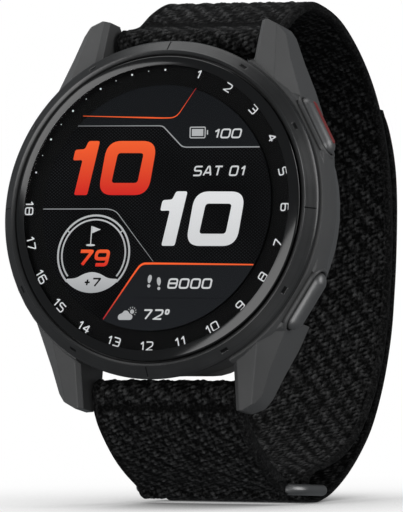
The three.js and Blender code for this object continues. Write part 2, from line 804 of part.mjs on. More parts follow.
/** The metal ring that the long strap turns back on. */
function strapRing() {
  const length = RING_REAR_BAR.clone().sub(RING_FRONT_BAR);
  const front = -RING_BAR / 2;
  const rear = length.length() + RING_BAR / 2;
  const outline = new THREE.Shape();
  roundedFrame(outline, RING_OUTER_X, front, rear, RING_FRONT_CORNER_R, RING_REAR_CORNER_R);
  const hole = new THREE.Path();
  const innerX = RING_OUTER_X - RING_BAR;
  const innerCornerR = RING_FRONT_CORNER_R - RING_BAR;
  roundedFrame(hole, innerX, front + RING_BAR, rear - RING_BAR, innerCornerR, 0.3);
  outline.holes.push(hole);
  const bevel = 0.3;
  const ring = new THREE.ExtrudeGeometry(outline, {
    depth: RING_THICK - 2 * bevel,
    bevelSize: bevel,
    bevelThickness: bevel,
    bevelOffset: -bevel,
    bevelSegments: 1,
    curveSegments: 5,
  })
    .translate(0, 0, -RING_THICK / 2 + bevel)
    .rotateX(Math.atan2(length.y, length.x))
    .translate(0, RING_FRONT_BAR.x, RING_FRONT_BAR.y);
  return named('strap_ring', ring, 'steel');
}

/** The notch at one end of the short strap's lower loop, where the ring's corner turns in. */
function cornerRoom(side) {
  const xs = [side * (RING_OUTER_X - RING_FRONT_CORNER_R - 0.5), side * STRAP_WIDTH];
  return block(xs.sort((a, b) => a - b), [-1.1, 6], [-1.35, 1.35])
    .translate(0, RING_FRONT_BAR.x, RING_FRONT_BAR.y);
}

/** Rounded rectangle, symmetric about x = 0, with its own corner radius at each end. */
function roundedFrame(path, halfX, lowY, highY, lowR, highR) {
  path.moveTo(-halfX + lowR, lowY);
  path.lineTo(halfX - lowR, lowY);
  path.absarc(halfX - lowR, lowY + lowR, lowR, -Math.PI / 2, 0, false);
  path.lineTo(halfX, highY - highR);
  path.absarc(halfX - highR, highY - highR, highR, 0, Math.PI / 2, false);
  path.lineTo(-halfX + highR, highY);
  path.absarc(-halfX + highR, highY - highR, highR, Math.PI / 2, Math.PI, false);
  path.lineTo(-halfX, lowY + lowR);
  path.absarc(-halfX + lowR, lowY + lowR, lowR, Math.PI, 1.5 * Math.PI, false);
}

// ---------------------------------------------------------------- quick-release spring bars

/** One spring bar, its coil and its sliding release pin, drawn about the x axis. */
function springBar(which, centre, studTurn) {
  const place = new THREE.Group();
  place.position.set(0, centre.x, centre.y);
  place.rotation.x = studTurn;

  const tube = shaped(barX(BAR_TUBE_R, -BAR_TUBE_END, BAR_TUBE_END), {
    joined: [barX(BAR_TIP_R, -BAR_TIP_END, -BAR_TUBE_END + 0.5)],
    removed: [
      barX(BAR_BORE_R, BAR_BORE_FROM, BAR_TUBE_END + 1),
      block([STUD_X - RELEASE_TRAVEL - 0.4, STUD_X + 0.4], [0, 2], [-0.3, 0.3]),
    ],
  });
  place.add(named(`${which}_bar_tube`, tube, 'steel'));

  const stud = STUD_WIDE / 2;
  const pin = shaped(barX(0.45, STUD_X - 0.5, STUD_X + 0.5), {
    joined: [
      barX(BAR_TIP_R - 0.02, STUD_X + 0.4, BAR_TIP_END),
      block([STUD_X - stud, STUD_X + stud], [0, 2.3], [-stud, stud]),
      new THREE.CylinderGeometry(0.5, 0.5, 0.6, 12).translate(STUD_X, 2.5, 0),
    ],
  });
  place.add(named(`${which}_release_pin`, pin, 'steel'));

  const coil = coilX(0.36, 0.1, 1.9, 4).translate(BAR_BORE_FROM + 0.1, 0, 0);
  place.add(named(`${which}_bar_spring`, coil, 'steel'));
  return place;
}

// ---------------------------------------------------------------- assembly

function watchHead() {
  const head = new THREE.Group();
  head.rotation.x = Math.PI / 2 - CASE_LEAN;
  head.add(
    bezel(),
    coverGlass(),
    flatRing('glass_seal', BEZEL_SEAT_R + 0.05, GLASS_R, -1.0, DISPLAY_TOP_Z, 'black', ROUND),
    flatRing('dial_ring', DIAL_RING_INNER_R, DIAL_RING_OUTER_R, -1.15, DISPLAY_TOP_Z, 'black', ROUND),
    displayPanel(),
    flatRing('bezel_seal', 19.75, 20.45, -2.8, -2.0, 'rubber'),
    midCase(),
    innerChassis(),
    displayFlex(),
    gnssAntenna(),
    mainBoard(),
    batteryShield(),
    battery(),
    vibrationMotor(),
    flatRing('back_seal', 17.75, 18.25, -10.52, -10.34, 'rubber'),
    backCover(),
    ...backScrews(),
    ...chargeContacts(),
    sensorWindow(),
    sensorModule(),
    button('upper'),
    button('lower'),
  );
  return head;
}

const watch = new THREE.Group();
watch.position.copy(GLASS_CENTRE);
watch.add(
  watchHead(),
  longStrap(),
  strapFold(),
  strapTail(),
  hookPatch(),
  shortStrap(),
  strapRing(),
  springBar('upper', UPPER_BAR, UPPER_STUD_TURN),
  springBar('lower', LOWER_BAR, LOWER_STUD_TURN),
);

export default watch;
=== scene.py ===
# Looks of the golf GPS watch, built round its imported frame. Lengths are in millimetres until they become vertices.
import json
import math

import bmesh
import bpy
import numpy as np
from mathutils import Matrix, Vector, geometry


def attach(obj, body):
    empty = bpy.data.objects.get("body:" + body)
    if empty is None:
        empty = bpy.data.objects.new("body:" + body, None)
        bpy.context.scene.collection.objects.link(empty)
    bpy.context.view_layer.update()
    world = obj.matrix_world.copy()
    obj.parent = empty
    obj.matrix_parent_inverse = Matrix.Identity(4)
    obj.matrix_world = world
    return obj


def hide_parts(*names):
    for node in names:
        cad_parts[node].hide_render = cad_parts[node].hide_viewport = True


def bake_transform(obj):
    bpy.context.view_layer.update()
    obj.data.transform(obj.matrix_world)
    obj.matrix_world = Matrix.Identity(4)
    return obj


MM = 0.001

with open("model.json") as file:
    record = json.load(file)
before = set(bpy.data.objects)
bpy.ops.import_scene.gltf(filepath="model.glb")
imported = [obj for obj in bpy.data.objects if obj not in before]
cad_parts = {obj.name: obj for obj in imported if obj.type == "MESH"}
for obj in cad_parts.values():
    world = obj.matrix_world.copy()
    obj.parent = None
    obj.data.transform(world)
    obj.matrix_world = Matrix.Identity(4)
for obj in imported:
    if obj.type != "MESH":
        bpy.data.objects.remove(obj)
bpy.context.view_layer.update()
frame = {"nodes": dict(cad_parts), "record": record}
nodes = frame["nodes"]
mounts = {m["name"]: m for m in frame["record"]["mounts"]}

# ---------------------------------------------------------------- places

BACK_Z = -12.0                                   # the back_rest mount, in the head's own frame
OUT = -Vector(mounts["back_rest"]["axis"])       # out of the display
GLASS = Vector(mounts["back_rest"]["pos_m"]) - OUT * BACK_Z * MM
RIGHT = Vector((1, 0, 0))                        # to 3 o'clock
UP = OUT.cross(RIGHT)                            # to 12 o'clock
HEAD = np.array([RIGHT, UP, OUT])


def head(points):
    """Points of the watch head (x to 3 o'clock, y to 12 o'clock, z out of the glass) in metres in the row frame."""
    return np.asarray(points, float) @ HEAD * MM + np.array(GLASS)


def upright(points):
    """Points (x, y, z) counted from the centre of the glass along the row's axes."""
    return np.asarray(points, float) * MM + np.array(GLASS)


def clockwise_from_top(radius, angle):
    """The point of the face at this radius and this angle from 12 o'clock, in radians."""
    return radius * math.sin(angle), radius * math.cos(angle)


# ---------------------------------------------------------------- materials


class Look:
    """A material on one Principled shader, with short calls for its nodes."""

    def __init__(self, name, **values):
        self.material = bpy.data.materials.new(name)
        self.material.use_nodes = True
        self.tree = self.material.node_tree
        self.shader = self.tree.nodes["Principled BSDF"]
        for key, value in values.items():
            self.shader.inputs[key.replace("_", " ")].default_value = value

    def node(self, kind, inputs=None, **settings):
        made = self.tree.nodes.new("ShaderNode" + kind)
        for key, value in settings.items():
            setattr(made, key, value)
        for key, value in (inputs or {}).items():
            if isinstance(value, bpy.types.NodeSocket):
                self.tree.links.new(value, made.inputs[key])
            else:
                made.inputs[key].default_value = value
        return made

    def link(self, source, target):
        self.tree.links.new(source, self.shader.inputs[target])

    def noise(self, per_mm, detail=3.0, rough=0.55, vector=None):
        place = vector or self.node("TexCoord").outputs["Object"]
        return self.node("TexNoise", {
            "Vector": place, "Scale": per_mm / MM, "Detail": detail, "Roughness": rough,
        }).outputs["Fac"]

    def ramp(self, fac, *stops):
        made = self.node("ValToRGB", {"Fac": fac})
        band = made.color_ramp.elements
        while len(band) < len(stops):
            band.new(0.5)
        for element, (at, value) in zip(band, stops):
            element.position = at
            element.color = (*(value if hasattr(value, "__len__") else (value,) * 3), 1)
        return made.outputs["Color"]

    def vary(self, fac, low, high, target, at=(0.3, 0.7)):
        """Lets an input of the shader run from low to high as the factor goes from one value to another."""
        self.link(self.ramp(fac, (at[0], low), (at[1], high)), target)

    def math(self, operation, a, b):
        return self.node("Math", {0: a, 1: b}, operation=operation).outputs[0]

    def vector(self, operation, *inputs):
        return self.node("VectorMath", dict(enumerate(inputs)), operation=operation).outputs

    def from_glass(self):
        """The vector from the centre of the glass to the shaded point."""
        return self.vector("SUBTRACT", self.node("TexCoord").outputs["Object"], tuple(GLASS))[0]

    def relief(self, height, distance_mm, edge_mm=0.0):
        """Bumps of this height, over edges rounded by this radius."""
        inputs = {"Height": height, "Distance": distance_mm * MM, "Strength": 1.0}
        if edge_mm:
            inputs["Normal"] = self.node("Bevel", {"Radius": edge_mm * MM}, samples=4).outputs["Normal"]
        self.link(self.node("Bump", inputs).outputs["Normal"], "Normal")


def grained(name, dark, light, rough, grain=2.0, relief=0.006, metallic=0.0, edge=0.0, **values):
    """A matt, slightly uneven surface: two close tones, fine grain in the relief and an uneven gloss."""
    look = Look(name, Metallic=metallic, **values)
    broad = look.noise(0.12, 4.0)
    fine = look.noise(grain, 2.0)
    mixed = look.math("ADD", look.math("MULTIPLY", broad, 0.6), look.math("MULTIPLY", fine, 0.4))
    look.vary(mixed, dark, light, "Base Color")
    look.vary(mixed, rough * 0.85, min(1.0, rough * 1.15), "Roughness", (0.25, 0.75))
    look.relief(fine, relief, edge)
    return look.material


def turned_metal(name, dark, light, rough, metallic):
    """Metal with the fine circular marks of turning about the middle of the glass, with painted shade that darkens it
    in its cut marks.
    """
    look = Look(name, Metallic=metallic)
    from_centre = look.from_glass()
    lift = look.vector("DOT_PRODUCT", from_centre, tuple(OUT))["Value"]
    along = look.node("VectorMath", {0: tuple(OUT), "Scale": lift}, operation="SCALE").outputs[0]
    radius = look.vector("LENGTH", look.vector("SUBTRACT", from_centre, along)[0])["Value"]
    ringwise = look.node("CombineXYZ", {"X": radius, "Y": lift}).outputs[0]
    marks = look.noise(9.0, 2.0, 0.6, ringwise)
    broad = look.noise(0.2, 3.0)
    cut = look.node("Attribute", attribute_name="marked").outputs["Fac"]
    # Painted shade: the colour is darkened where the bezel is cut, standing in for shade in the cut marks.
    colours = {0: 1.0, 6: look.ramp(broad, (0.3, dark), (0.7, light)), 7: look.ramp(cut, (0.1, 1.0), (0.6, 0.22))}
    tone = look.node("Mix", colours, data_type="RGBA", blend_type="MULTIPLY").outputs[2]
    look.link(tone, "Base Color")
    look.vary(marks, rough * 0.8, rough * 1.2, "Roughness")
    look.relief(marks, 0.004)
    return look.material


def lit(name, low, high=None, span=(-15, 15)):
    """Light from the display, in one colour or in two that change over a height span of the head, in millimetres."""
    look = Look(name, Base_Color=(0.002, 0.002, 0.002, 1), Roughness=0.5, Specular_IOR_Level=0.0,
                Emission_Strength=1.0)
    height = look.vector("DOT_PRODUCT", look.from_glass(), tuple(UP))["Value"]
    limits = {"Value": height, "From Min": span[0] * MM, "From Max": span[1] * MM}
    look.vary(look.node("MapRange", limits).outputs["Result"], low, high or low, "Emission Color", (0.0, 1.0))
    return look.material


def knit(name):
    """Black nylon knit: the raised loops are painted paler and the gaps darker, as painted highlight and painted shade,
    with fine threads across them.
    """
    look = Look(name, Sheen_Weight=0.005, Sheen_Roughness=0.5, Sheen_Tint=(0.75, 0.77, 0.8, 1),
                Specular_IOR_Level=0.05)
    painted_relief_shade_and_selvedge = look.node("Attribute", attribute_name="marked").outputs["Fac"]
    threads = look.noise(3.1, 3.0, 0.75)
    mottle = look.noise(0.5, 3.0)
    # The relief's share of the tone is painted light: painted highlight on the tops of the loops, painted shade in the
    # gaps between them.
    tone = look.math("ADD", look.math("MULTIPLY", painted_relief_shade_and_selvedge, 0.42), look.math("MULTIPLY", threads, 0.8))
    tone = look.math("ADD", tone, look.math("MULTIPLY", mottle, 0.12))
    look.link(look.ramp(tone, (0.44, 0.0006), (0.55, 0.0075), (0.70, 0.033), (0.92, 0.085)), "Base Color")
    look.vary(threads, 0.6, 0.92, "Roughness")
    look.relief(threads, 0.06)
    return look.material


def clear_glass(name, ior, roughness):
    """Coated glass, seen through with only a faint mirror image."""
    look = Look(name)
    output = look.tree.nodes["Material Output"]
    look.tree.nodes.remove(look.shader)
    smudge = look.noise(0.15, 3.0)
    gloss = look.node("BsdfGlossy", {
        "Color": (1, 1, 1, 1), "Roughness": look.ramp(smudge, (0.3, roughness), (0.7, roughness * 1.6)),
    })
    share = look.node("Fresnel", {"IOR": ior}).outputs[0]
    through = look.node("BsdfTransparent")
    mixed = look.node("MixShader", {0: share, 1: through.outputs[0], 2: gloss.outputs[0]})
    look.tree.links.new(mixed.outputs[0], output.inputs["Surface"])
    return look.material


def inked_edge(name):
    """The rounded rim of the glass, black from the ink behind it and polished in front."""
    look = Look(name, IOR=1.62)
    broad = look.noise(0.1, 2.0)
    look.vary(broad, 0.0015, 0.0025, "Base Color")
    look.vary(broad, 0.10, 0.14, "Roughness")
    return look.material


CASE = grained("case_polymer", 0.057, 0.074, 0.42, grain=7.0, relief=0.010, edge=0.22)
RUBBER = grained("rubber", 0.010, 0.018, 0.7, grain=5.0)
BLACK = grained("black_ink", 0.0012, 0.0022, 0.45, grain=4.0, relief=0.001, Specular_IOR_Level=0.06)
STEEL = grained("steel", 0.42, 0.55, 0.28, grain=6.0, relief=0.003, metallic=1.0, edge=0.05)
SHEET = grained("sheet_metal", 0.45, 0.55, 0.35, grain=3.0, metallic=1.0)
COPPER = grained("copper", (0.45, 0.2, 0.09), (0.62, 0.3, 0.14), 0.35, grain=4.0, metallic=1.0)
BRASS = grained("weight_metal", (0.4, 0.3, 0.14), (0.55, 0.42, 0.2), 0.4, grain=4.0, metallic=1.0)
GOLD = grained("gold_plate", (0.7, 0.48, 0.16), (0.82, 0.6, 0.24), 0.22, grain=5.0, relief=0.002, metallic=1.0)
BOARD = grained("board_mask", (0.012, 0.06, 0.028), (0.02, 0.09, 0.04), 0.4, grain=3.0)
CELL = grained("cell_foil", 0.3, 0.4, 0.35, grain=1.5, metallic=0.6)
BUTTON = grained("button_metal", 0.16, 0.21, 0.46, grain=8.0, relief=0.004, metallic=0.85, edge=0.1)
ACCENT = grained("accent", (0.17, 0.012, 0.012), (0.24, 0.02, 0.018), 0.5, grain=6.0, relief=0.004, edge=0.05)
BEZEL = turned_metal("bezel_metal", 0.064, 0.084, 0.3, 0.85)
RING = grained("ring_metal", 0.17, 0.23, 0.4, grain=8.0, relief=0.004, metallic=1.0)
HOOKS = grained("hook_tape", 0.006, 0.014, 0.8, grain=3.0, relief=0.15)
KNIT = knit("nylon_knit")
GLAZE = clear_glass("cover_glass", 1.15, 0.06)
INKED_EDGE = inked_edge("cover_glass_edge")
LENS = Look("sensor_window", Coat_Weight=0.6, Coat_Roughness=0.05)
LENS.vary(LENS.noise(0.3, 2.0), 0.003, 0.006, "Base Color")
LENS.vary(LENS.noise(0.5, 2.0), 0.06, 0.12, "Roughness")

BY_SLOT = {
    "bezel_metal": BEZEL, "case_polymer": CASE, "glass": LENS.material, "display": BLACK, "black_polymer": BLACK,
    "rubber": RUBBER, "button_metal": BUTTON, "accent": ACCENT, "light_metal": SHEET, "steel": STEEL,
    "ring_metal": RING, "copper": COPPER, "brass": BRASS, "board": BOARD, "cell": CELL, "gold": GOLD,
    "nylon": KNIT, "hook_tape": HOOKS,
}

# ---------------------------------------------------------------- carried-over CAD nodes


def smoothing_group(limit_deg):
    """Smooth shading that stays crisp at edges sharper than the limit."""
    group = bpy.data.node_groups.new("smooth_by_angle", "GeometryNodeTree")
    group.interface.new_socket("Geometry", in_out="INPUT", socket_type="NodeSocketGeometry")
    group.interface.new_socket("Geometry", in_out="OUTPUT", socket_type="NodeSocketGeometry")
    add = group.nodes.new
    start, end = add("NodeGroupInput"), add("NodeGroupOutput")
    merge = add("GeometryNodeMergeByDistance")
    merge.inputs["Distance"].default_value = 0.002 * MM
    faces, edges = add("GeometryNodeSetShadeSmooth"), add("GeometryNodeSetShadeSmooth")
    faces.domain, edges.domain = "FACE", "EDGE"
    edges.inputs["Shade Smooth"].default_value = False
    angle, sharp = add("GeometryNodeInputMeshEdgeAngle"), add("FunctionNodeCompare")
    sharp.operation = "GREATER_THAN"
    sharp.inputs[1].default_value = math.radians(limit_deg)
    for a, b in [
        (start.outputs[0], merge.inputs[0]), (merge.outputs[0], faces.inputs[0]),
        (faces.outputs[0], edges.inputs[0]), (edges.outputs[0], end.inputs[0]),
        (angle.outputs["Unsigned Angle"], sharp.inputs[0]), (sharp.outputs[0], edges.inputs["Selection"]),
    ]:
        group.links.new(a, b)
    return group


SMOOTH = smoothing_group(28)


def finish_node(node, material):
    """Gives a CAD node its material, and shading smoothed by angle instead of its own normals."""
    mesh = node.data
    mesh.materials.clear()
    mesh.materials.append(material)
    if "custom_normal" in mesh.attributes:
        mesh.attributes.remove(mesh.attributes["custom_normal"])
    node.modifiers.new("smooth", "NODES").node_group = SMOOTH


for entry in frame["record"]["subparts"]:
    finish_node(nodes[entry["node"]], BY_SLOT[entry["material_slot"]])

# ---------------------------------------------------------------- mesh helpers


def into_scene(name, data):
    made = bpy.data.objects.new(name, data)
    bpy.context.scene.collection.objects.link(made)
    return made


def piece(name, vertices, faces, material, body, stands_for=(), smooth=True, marked=None):
    """Makes a mesh piece from vertices in metres, with its faces turned outwards, and puts it on its body."""
    mesh = bpy.data.meshes.new(name)
    mesh.from_pydata([tuple(v) for v in vertices], [], [tuple(f) for f in faces])
    if marked is not None:
        layer = mesh.attributes.new("marked", "FLOAT", "POINT")
        layer.data.foreach_set("value", np.asarray(marked, np.float32))
    work = bmesh.new()
    work.from_mesh(mesh)
    bmesh.ops.recalc_face_normals(work, faces=work.faces)
    work.to_mesh(mesh)
    work.free()
    mesh.polygons.foreach_set("use_smooth", [smooth] * len(mesh.polygons))
    mesh.materials.append(material)
    made = into_scene(name, mesh)
    if body:
        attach(made, body)
    if stands_for:
        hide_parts(*stands_for)
    return made


def grid_faces(rows, columns, wrap_rows=False, wrap_columns=False):
    """Quads of a grid of rows by columns of vertices."""
    faces = []
    for i in range(rows if wrap_rows else rows - 1):
        for j in range(columns if wrap_columns else columns - 1):
            a, b = i * columns, ((i + 1) % rows) * columns
            k = (j + 1) % columns
            faces.append((a + j, a + k, b + k, b + j))
    return faces


def rounded(points, radius, closed=True, steps=5):
    """A polyline with its corners rounded."""
    points = [np.array(p, float) for p in points]
    count = len(points)
    result = []
    for i, here in enumerate(points):
        if not closed and i in (0, count - 1):
            result.append(here)
            continue
        before, after = points[i - 1], points[(i + 1) % count]
        reach_a, reach_b = np.linalg.norm(before - here), np.linalg.norm(after - here)
        wanted = radius[i] if hasattr(radius, "__len__") else radius
        size = min(wanted, reach_a * 0.48, reach_b * 0.48)
        a = here + (before - here) / reach_a * size
        b = here + (after - here) / reach_b * size
        for k in range(steps + 1):
            t = k / steps
            result.append((1 - t) ** 2 * a + 2 * t * (1 - t) * here + t * t * b)
    return result


def thick_line(points, width, closed=False):
    """The mitred outline of a stroked line: one loop, or an outer and an inner loop where the line is closed."""
    line = np.array(points, float)
    if closed:
        ahead, behind = np.roll(line, -1, 0), np.roll(line, 1, 0)
    else:
        ahead = np.vstack([line[1:], 2 * line[-1] - line[-2]])
        behind = np.vstack([2 * line[0] - line[1], line[:-1]])
    forward, backward = ahead - line, line - behind
    forward /= np.linalg.norm(forward, axis=1)[:, None]
    backward /= np.linalg.norm(backward, axis=1)[:, None]
    across = np.column_stack([-(forward + backward)[:, 1], (forward + backward)[:, 0]])
    across /= np.linalg.norm(across, axis=1)[:, None]
    normal = np.column_stack([-forward[:, 1], forward[:, 0]])
    mitre = np.clip((across * normal).sum(1), 0.35, 1)[:, None]
    left, right = line + across * width / 2 / mitre, line - across * width / 2 / mitre
    if closed:
        return sorted([left, right], key=lambda loop: -abs(signed_area(loop)))
    return [np.vstack([left, right[::-1]])]


def signed_area(loop):
    """The area inside a loop, above zero where the loop runs anticlockwise."""
    loop = np.asarray(loop, float)
    after = np.roll(loop, -1, 0)
    return 0.5 * float(np.sum(loop[:, 0] * after[:, 1] - loop[:, 1] * after[:, 0]))


def character_stroke(points, width, closed, outer, inner):
    """A stroked line of a character, with wide outer corners, tight inner corners and square ends."""
    loops = []
    for index, loop in enumerate(thick_line(points, width, closed)):
        turn = 1 if signed_area(loop) > 0 else -1
        half = len(loop) // 2
        radii = []
        for i in range(len(loop)):
            a, b = loop[i] - loop[i - 1], loop[(i + 1) % len(loop)] - loop[i]
            convex = turn * (a[0] * b[1] - a[1] * b[0]) > 0
            at_end = not closed and i in (0, half - 1, half, len(loop) - 1)
            radii.append(0.02 if at_end else (outer if convex != (closed and index == 1) else inner))
        loops.append(rounded(loop, radii, True, 4))
    return loops


FILM = 0.02                     # thickness of every printed or lit layer behind the glass


def plate(name, shapes, top, material):
    """Films in the head's frame, top millimetres up. Each shape is an outer loop and any holes."""
    vertices, faces = [], []
    for loops in shapes:
        base = len(vertices)
        flat = [tuple(p) for loop in loops for p in loop]
        count = len(flat)
        vertices += [(x, y, top) for x, y in flat] + [(x, y, top - FILM) for x, y in flat]
        for tri in geometry.tessellate_polygon([[Vector((x, y, 0)) for x, y in loop] for loop in loops]):
            faces.append([base + i for i in tri])
            faces.append([base + count + i for i in reversed(tri)])
        start = base
        for loop in loops:
            size = len(loop)
            for i in range(size):
                a, b = start + i, start + (i + 1) % size
                faces.append((a, b, b + count, a + count))
            start += size
    return piece(name, head(vertices), faces, material, "case", smooth=False)


def ring_of(centre, radius, count):
    around = [clockwise_from_top(radius, 2 * math.pi * k / count) for k in range(count)]
    return [(centre[0] + x, centre[1] + y) for x, y in around]


# ---------------------------------------------------------------- bezel and glass

BEZEL_PROFILE = [
    (18.65, -1.9), (21.02, -1.9), (21.1, -1.84), (21.1, -1.62), (21.06, -1.5), (20.96, -1.38), (20.84, -1.27),
    (20.6, -1.07), (20.3, -0.82), (20.1, -0.65), (19.95, -0.525), (19.8, -0.4), (19.74, -0.33), (19.68, -0.3),
    (19.6, -0.33), (19.4, -0.45), (19.24, -0.56), (19.2, -0.62), (19.2, -1.1), (18.65, -1.1),
]
MARK_DEEP = 0.11
SLOT_HALF = (0.52, 0.17)        # half length round the bezel, half width across it
SLOT_R = 20.3
LINE_HALF = 0.06


def make_bezel():
    """The turned ring, with a hairline at every quarter and a slot at each hour between."""
    near = np.radians(np.arange(-2.0, 2.01, 0.125))
    angles = set(np.round(np.radians(np.arange(0, 360, 1.5)), 6))
    for hour in range(12):
        angles |= set(np.round((math.radians(30 * hour) + near) % (2 * math.pi), 6))
    angles = np.array(sorted(angles))
    profile = []
    for (r0, z0), (r1, z1) in zip(BEZEL_PROFILE, BEZEL_PROFILE[1:] + BEZEL_PROFILE[:1]):
        on_slope = z0 < -0.39 and 19.7 < r0 < 20.9 and 19.7 < r1 < 20.9
        parts = 4 if on_slope else 1
        profile += [(r0 + (r1 - r0) * k / parts, z0 + (z1 - z0) * k / parts) for k in range(parts)]
    vertices, cut = [], []
    for r, z in profile:
        for angle in angles:
            hour = round(math.degrees(angle) / 30)
            off = (angle - math.radians(30 * hour)) * r
            drop = 0.0
            if 19.72 < r < 20.95 and z > -1.4:
                if hour % 3 == 0:
                    drop = max(0.0, 1 - (off / LINE_HALF) ** 2) ** 0.5 * 0.7
                else:
                    inside = max(abs(off) / SLOT_HALF[0], abs(r - SLOT_R) / SLOT_HALF[1])
                    drop = min(1.0, max(0.0, (1.0 - inside) / 0.25))
            cut.append(drop)
            vertices.append((*clockwise_from_top(r, angle), z - drop * MARK_DEEP))
    faces = grid_faces(len(profile), len(angles), True, True)
    # The depth of each cut is kept on the mesh for the painted shade in the cut marks.
    made = piece("bezel_ring", head(vertices), faces, BEZEL, "case", ["bezel"], marked=cut)
    made.modifiers.new("smooth", "NODES").node_group = SMOOTH


GLASS_PROFILE = [
    (6, 0), (12, 0), (17.3, 0), (17.6, -0.008), (17.78, -0.024), (17.96, -0.048), (18.14, -0.08),
    (18.32, -0.12), (18.5, -0.165), (18.68, -0.218), (18.84, -0.275), (18.95, -0.33), (19.03, -0.43), (19.03, -0.7),
]
GLASS_THICK = 0.7
INK_FROM_R = 17.78              # the ink on the back of the glass starts here and turns the rim black


def make_glass():
    count = 180
    vertices = [(*clockwise_from_top(r, 2 * math.pi * k / count), z) for r, z in GLASS_PROFILE for k in range(count)]
    faces = grid_faces(len(GLASS_PROFILE), count, False, True)
    front_middle, back_edge = len(vertices), len(vertices) - count
    vertices += [(0, 0, 0), (0, 0, -GLASS_THICK)]
    for k in range(count):
        n = (k + 1) % count
        faces.append((front_middle, k, n))
        faces.append((front_middle + 1, back_edge + n, back_edge + k))
    made = piece("glass_cover", head(vertices), faces, GLAZE, "case", ["cover_glass"])
    made.data.materials.append(INKED_EDGE)
    ink_start = count * next(i for i, (r, z) in enumerate(GLASS_PROFILE) if r >= INK_FROM_R)
    for face in made.data.polygons:
        if len(face.vertices) == 4 and min(face.vertices) >= ink_start:
            face.material_index = 1
    made.modifiers.new("smooth", "NODES").node_group = SMOOTH


# ---------------------------------------------------------------- lettering of the display and dial

# Each glyph is a list of strokes in a unit square; one that ends where it starts is closed. "o" is the degree sign.
GLYPHS = {
    "0": [[(0, 0), (1, 0), (1, 1), (0, 1), (0, 0)]],
    "1": [[(0.12, 0.72), (0.62, 1.0), (0.62, 0)]],
    "2": [[(0, 1), (1, 1), (1, 0.55), (0, 0), (1, 0)]],
    "3": [[(0, 1), (1, 1), (1, 0), (0, 0)], [(0.3, 0.52), (1, 0.52)]],
    "4": [[(0.7, 0), (0.7, 1)], [(0.7, 1), (0, 0.32), (1, 0.32)]],
    "5": [[(1, 1), (0, 1), (0, 0.56), (1, 0.56), (1, 0), (0, 0)]],
    "6": [[(0, 0), (1, 0), (1, 0.56), (0, 0.56), (0, 0)], [(0.9, 1), (0, 1), (0, 0.3)]],
    "7": [[(0, 1), (1, 1), (0.35, 0)]],
    "8": [[(0, 0), (1, 0), (1, 1), (0, 1), (0, 0)], [(0, 0.52), (1, 0.52)]],
    "9": [[(0, 0.44), (1, 0.44), (1, 1), (0, 1), (0, 0.44)], [(0.1, 0), (1, 0), (1, 0.7)]],
    "S": [[(1, 1), (0, 1), (0, 0.52), (1, 0.52), (1, 0), (0, 0)]],
    "A": [[(0, 0), (0.42, 1), (0.62, 1), (1, 0)], [(0.2, 0.3), (0.86, 0.3)]],
    "T": [[(0, 1), (1, 1)], [(0.5, 1), (0.5, 0)]],
    "+": [[(0.05, 0.5), (0.95, 0.5)], [(0.5, 0.12), (0.5, 0.88)]],
    "o": [[(0, 0.58), (1, 0.58), (1, 1.02), (0, 1.02), (0, 0.58)]],
}
NARROW = {"1": 0.62, "+": 0.8, "o": 0.48, " ": 0.5}       # share of the usual width


def lettering(text, place, height, width, stroke, gap, slant=0.0, turn=0.0, corner=0.3, centred=False):
    """Shapes of a line of squared-off characters. Place is the lower left corner, or the middle where centred."""
    advance = sum(width * NARROW.get(c, 1.0) for c in text) + gap * (len(text) - 1)
    pen = -advance / 2 if centred else 0.0
    drop = -height / 2 if centred else 0.0
    cos, sin = math.cos(turn), math.sin(turn)
    shapes = []
    for c in text:
        wide = width * NARROW.get(c, 1.0)
        for line in GLYPHS.get(c, []):
            closed = line[0] == line[-1]
            inner_w, inner_h = wide if c == "1" else wide - stroke, height - stroke
            corners = line[:-1] if closed else line
            pts = [(pen + stroke / 2 + x * inner_w, drop + stroke / 2 + y * inner_h) for x, y in corners]
            outer = corner * width
            loops = character_stroke(pts, stroke, closed, outer, max(0.03, outer - stroke))
            placed = []
            for loop in loops:
                sheared = [(x + slant * (y - drop), y) for x, y in loop]
                placed.append([(place[0] + x * cos - y * sin, place[1] + x * sin + y * cos) for x, y in sheared])
            shapes.append(placed)
        pen += wide + gap
    return shapes


FIELD_Z, PANEL_Z, LINE_Z, DIGIT_Z = -0.33, -0.30, -0.27, -0.25      # heights of the layers
DISPLAY_R = 15.3
NUMERAL_R = 17.2

ORANGE = (0.87, 0.115, 0.03)
RED = (0.62, 0.022, 0.018)
MAGENTA = (0.35, 0.02, 0.03)
PALE = (0.62, 0.63, 0.64)
GREY = (0.30, 0.31, 0.32)


def inside_display(points):
    """Pulls points that lie beyond the display back on to its edge."""
    shares = [min(1.0, DISPLAY_R / math.hypot(x, y)) for x, y in points]
    return [(x * share, y * share) for (x, y), share in zip(points, shares)]


def arc(start_deg, end_deg, radius, count=40):
    """Points from one angle to another, clockwise from 12 o'clock."""
    return [clockwise_from_top(radius, math.radians(start_deg + (end_deg - start_deg) * k / count))
            for k in range(count + 1)]


def clock(point):
    """The angle of a point from 12 o'clock, in degrees."""
    return math.degrees(math.atan2(point[0], point[1]))


def spoke(centre, start_r, end_r, clockwise_deg, width):
    """A short straight stroke that points away from a centre."""
    ends = [clockwise_from_top(radius, math.radians(clockwise_deg)) for radius in (start_r, end_r)]
    return [thick_line([(centre[0] + x, centre[1] + y) for x, y in ends], width)]


def side_lines(line, half):
    """The two faces of a band about its centre line, half a thickness away on each side."""
    tangent = np.gradient(line, axis=0)
    tangent /= np.linalg.norm(tangent, axis=1)[:, None]
    away = np.column_stack([-tangent[:, 1], tangent[:, 0]])
    half = np.broadcast_to(half, (len(line),))[:, None]
    return line + away * half, line - away * half


def tapered(points, *widths):
    """A stroked line whose width changes along it, given at its start, near its middle and at its end."""
    width = np.interp(np.linspace(0, 1, len(points)), [0, 0.45, 1], widths)
    left, right = side_lines(np.array(points, float), width / 2)
    return [np.vstack([left, right[::-1]])]


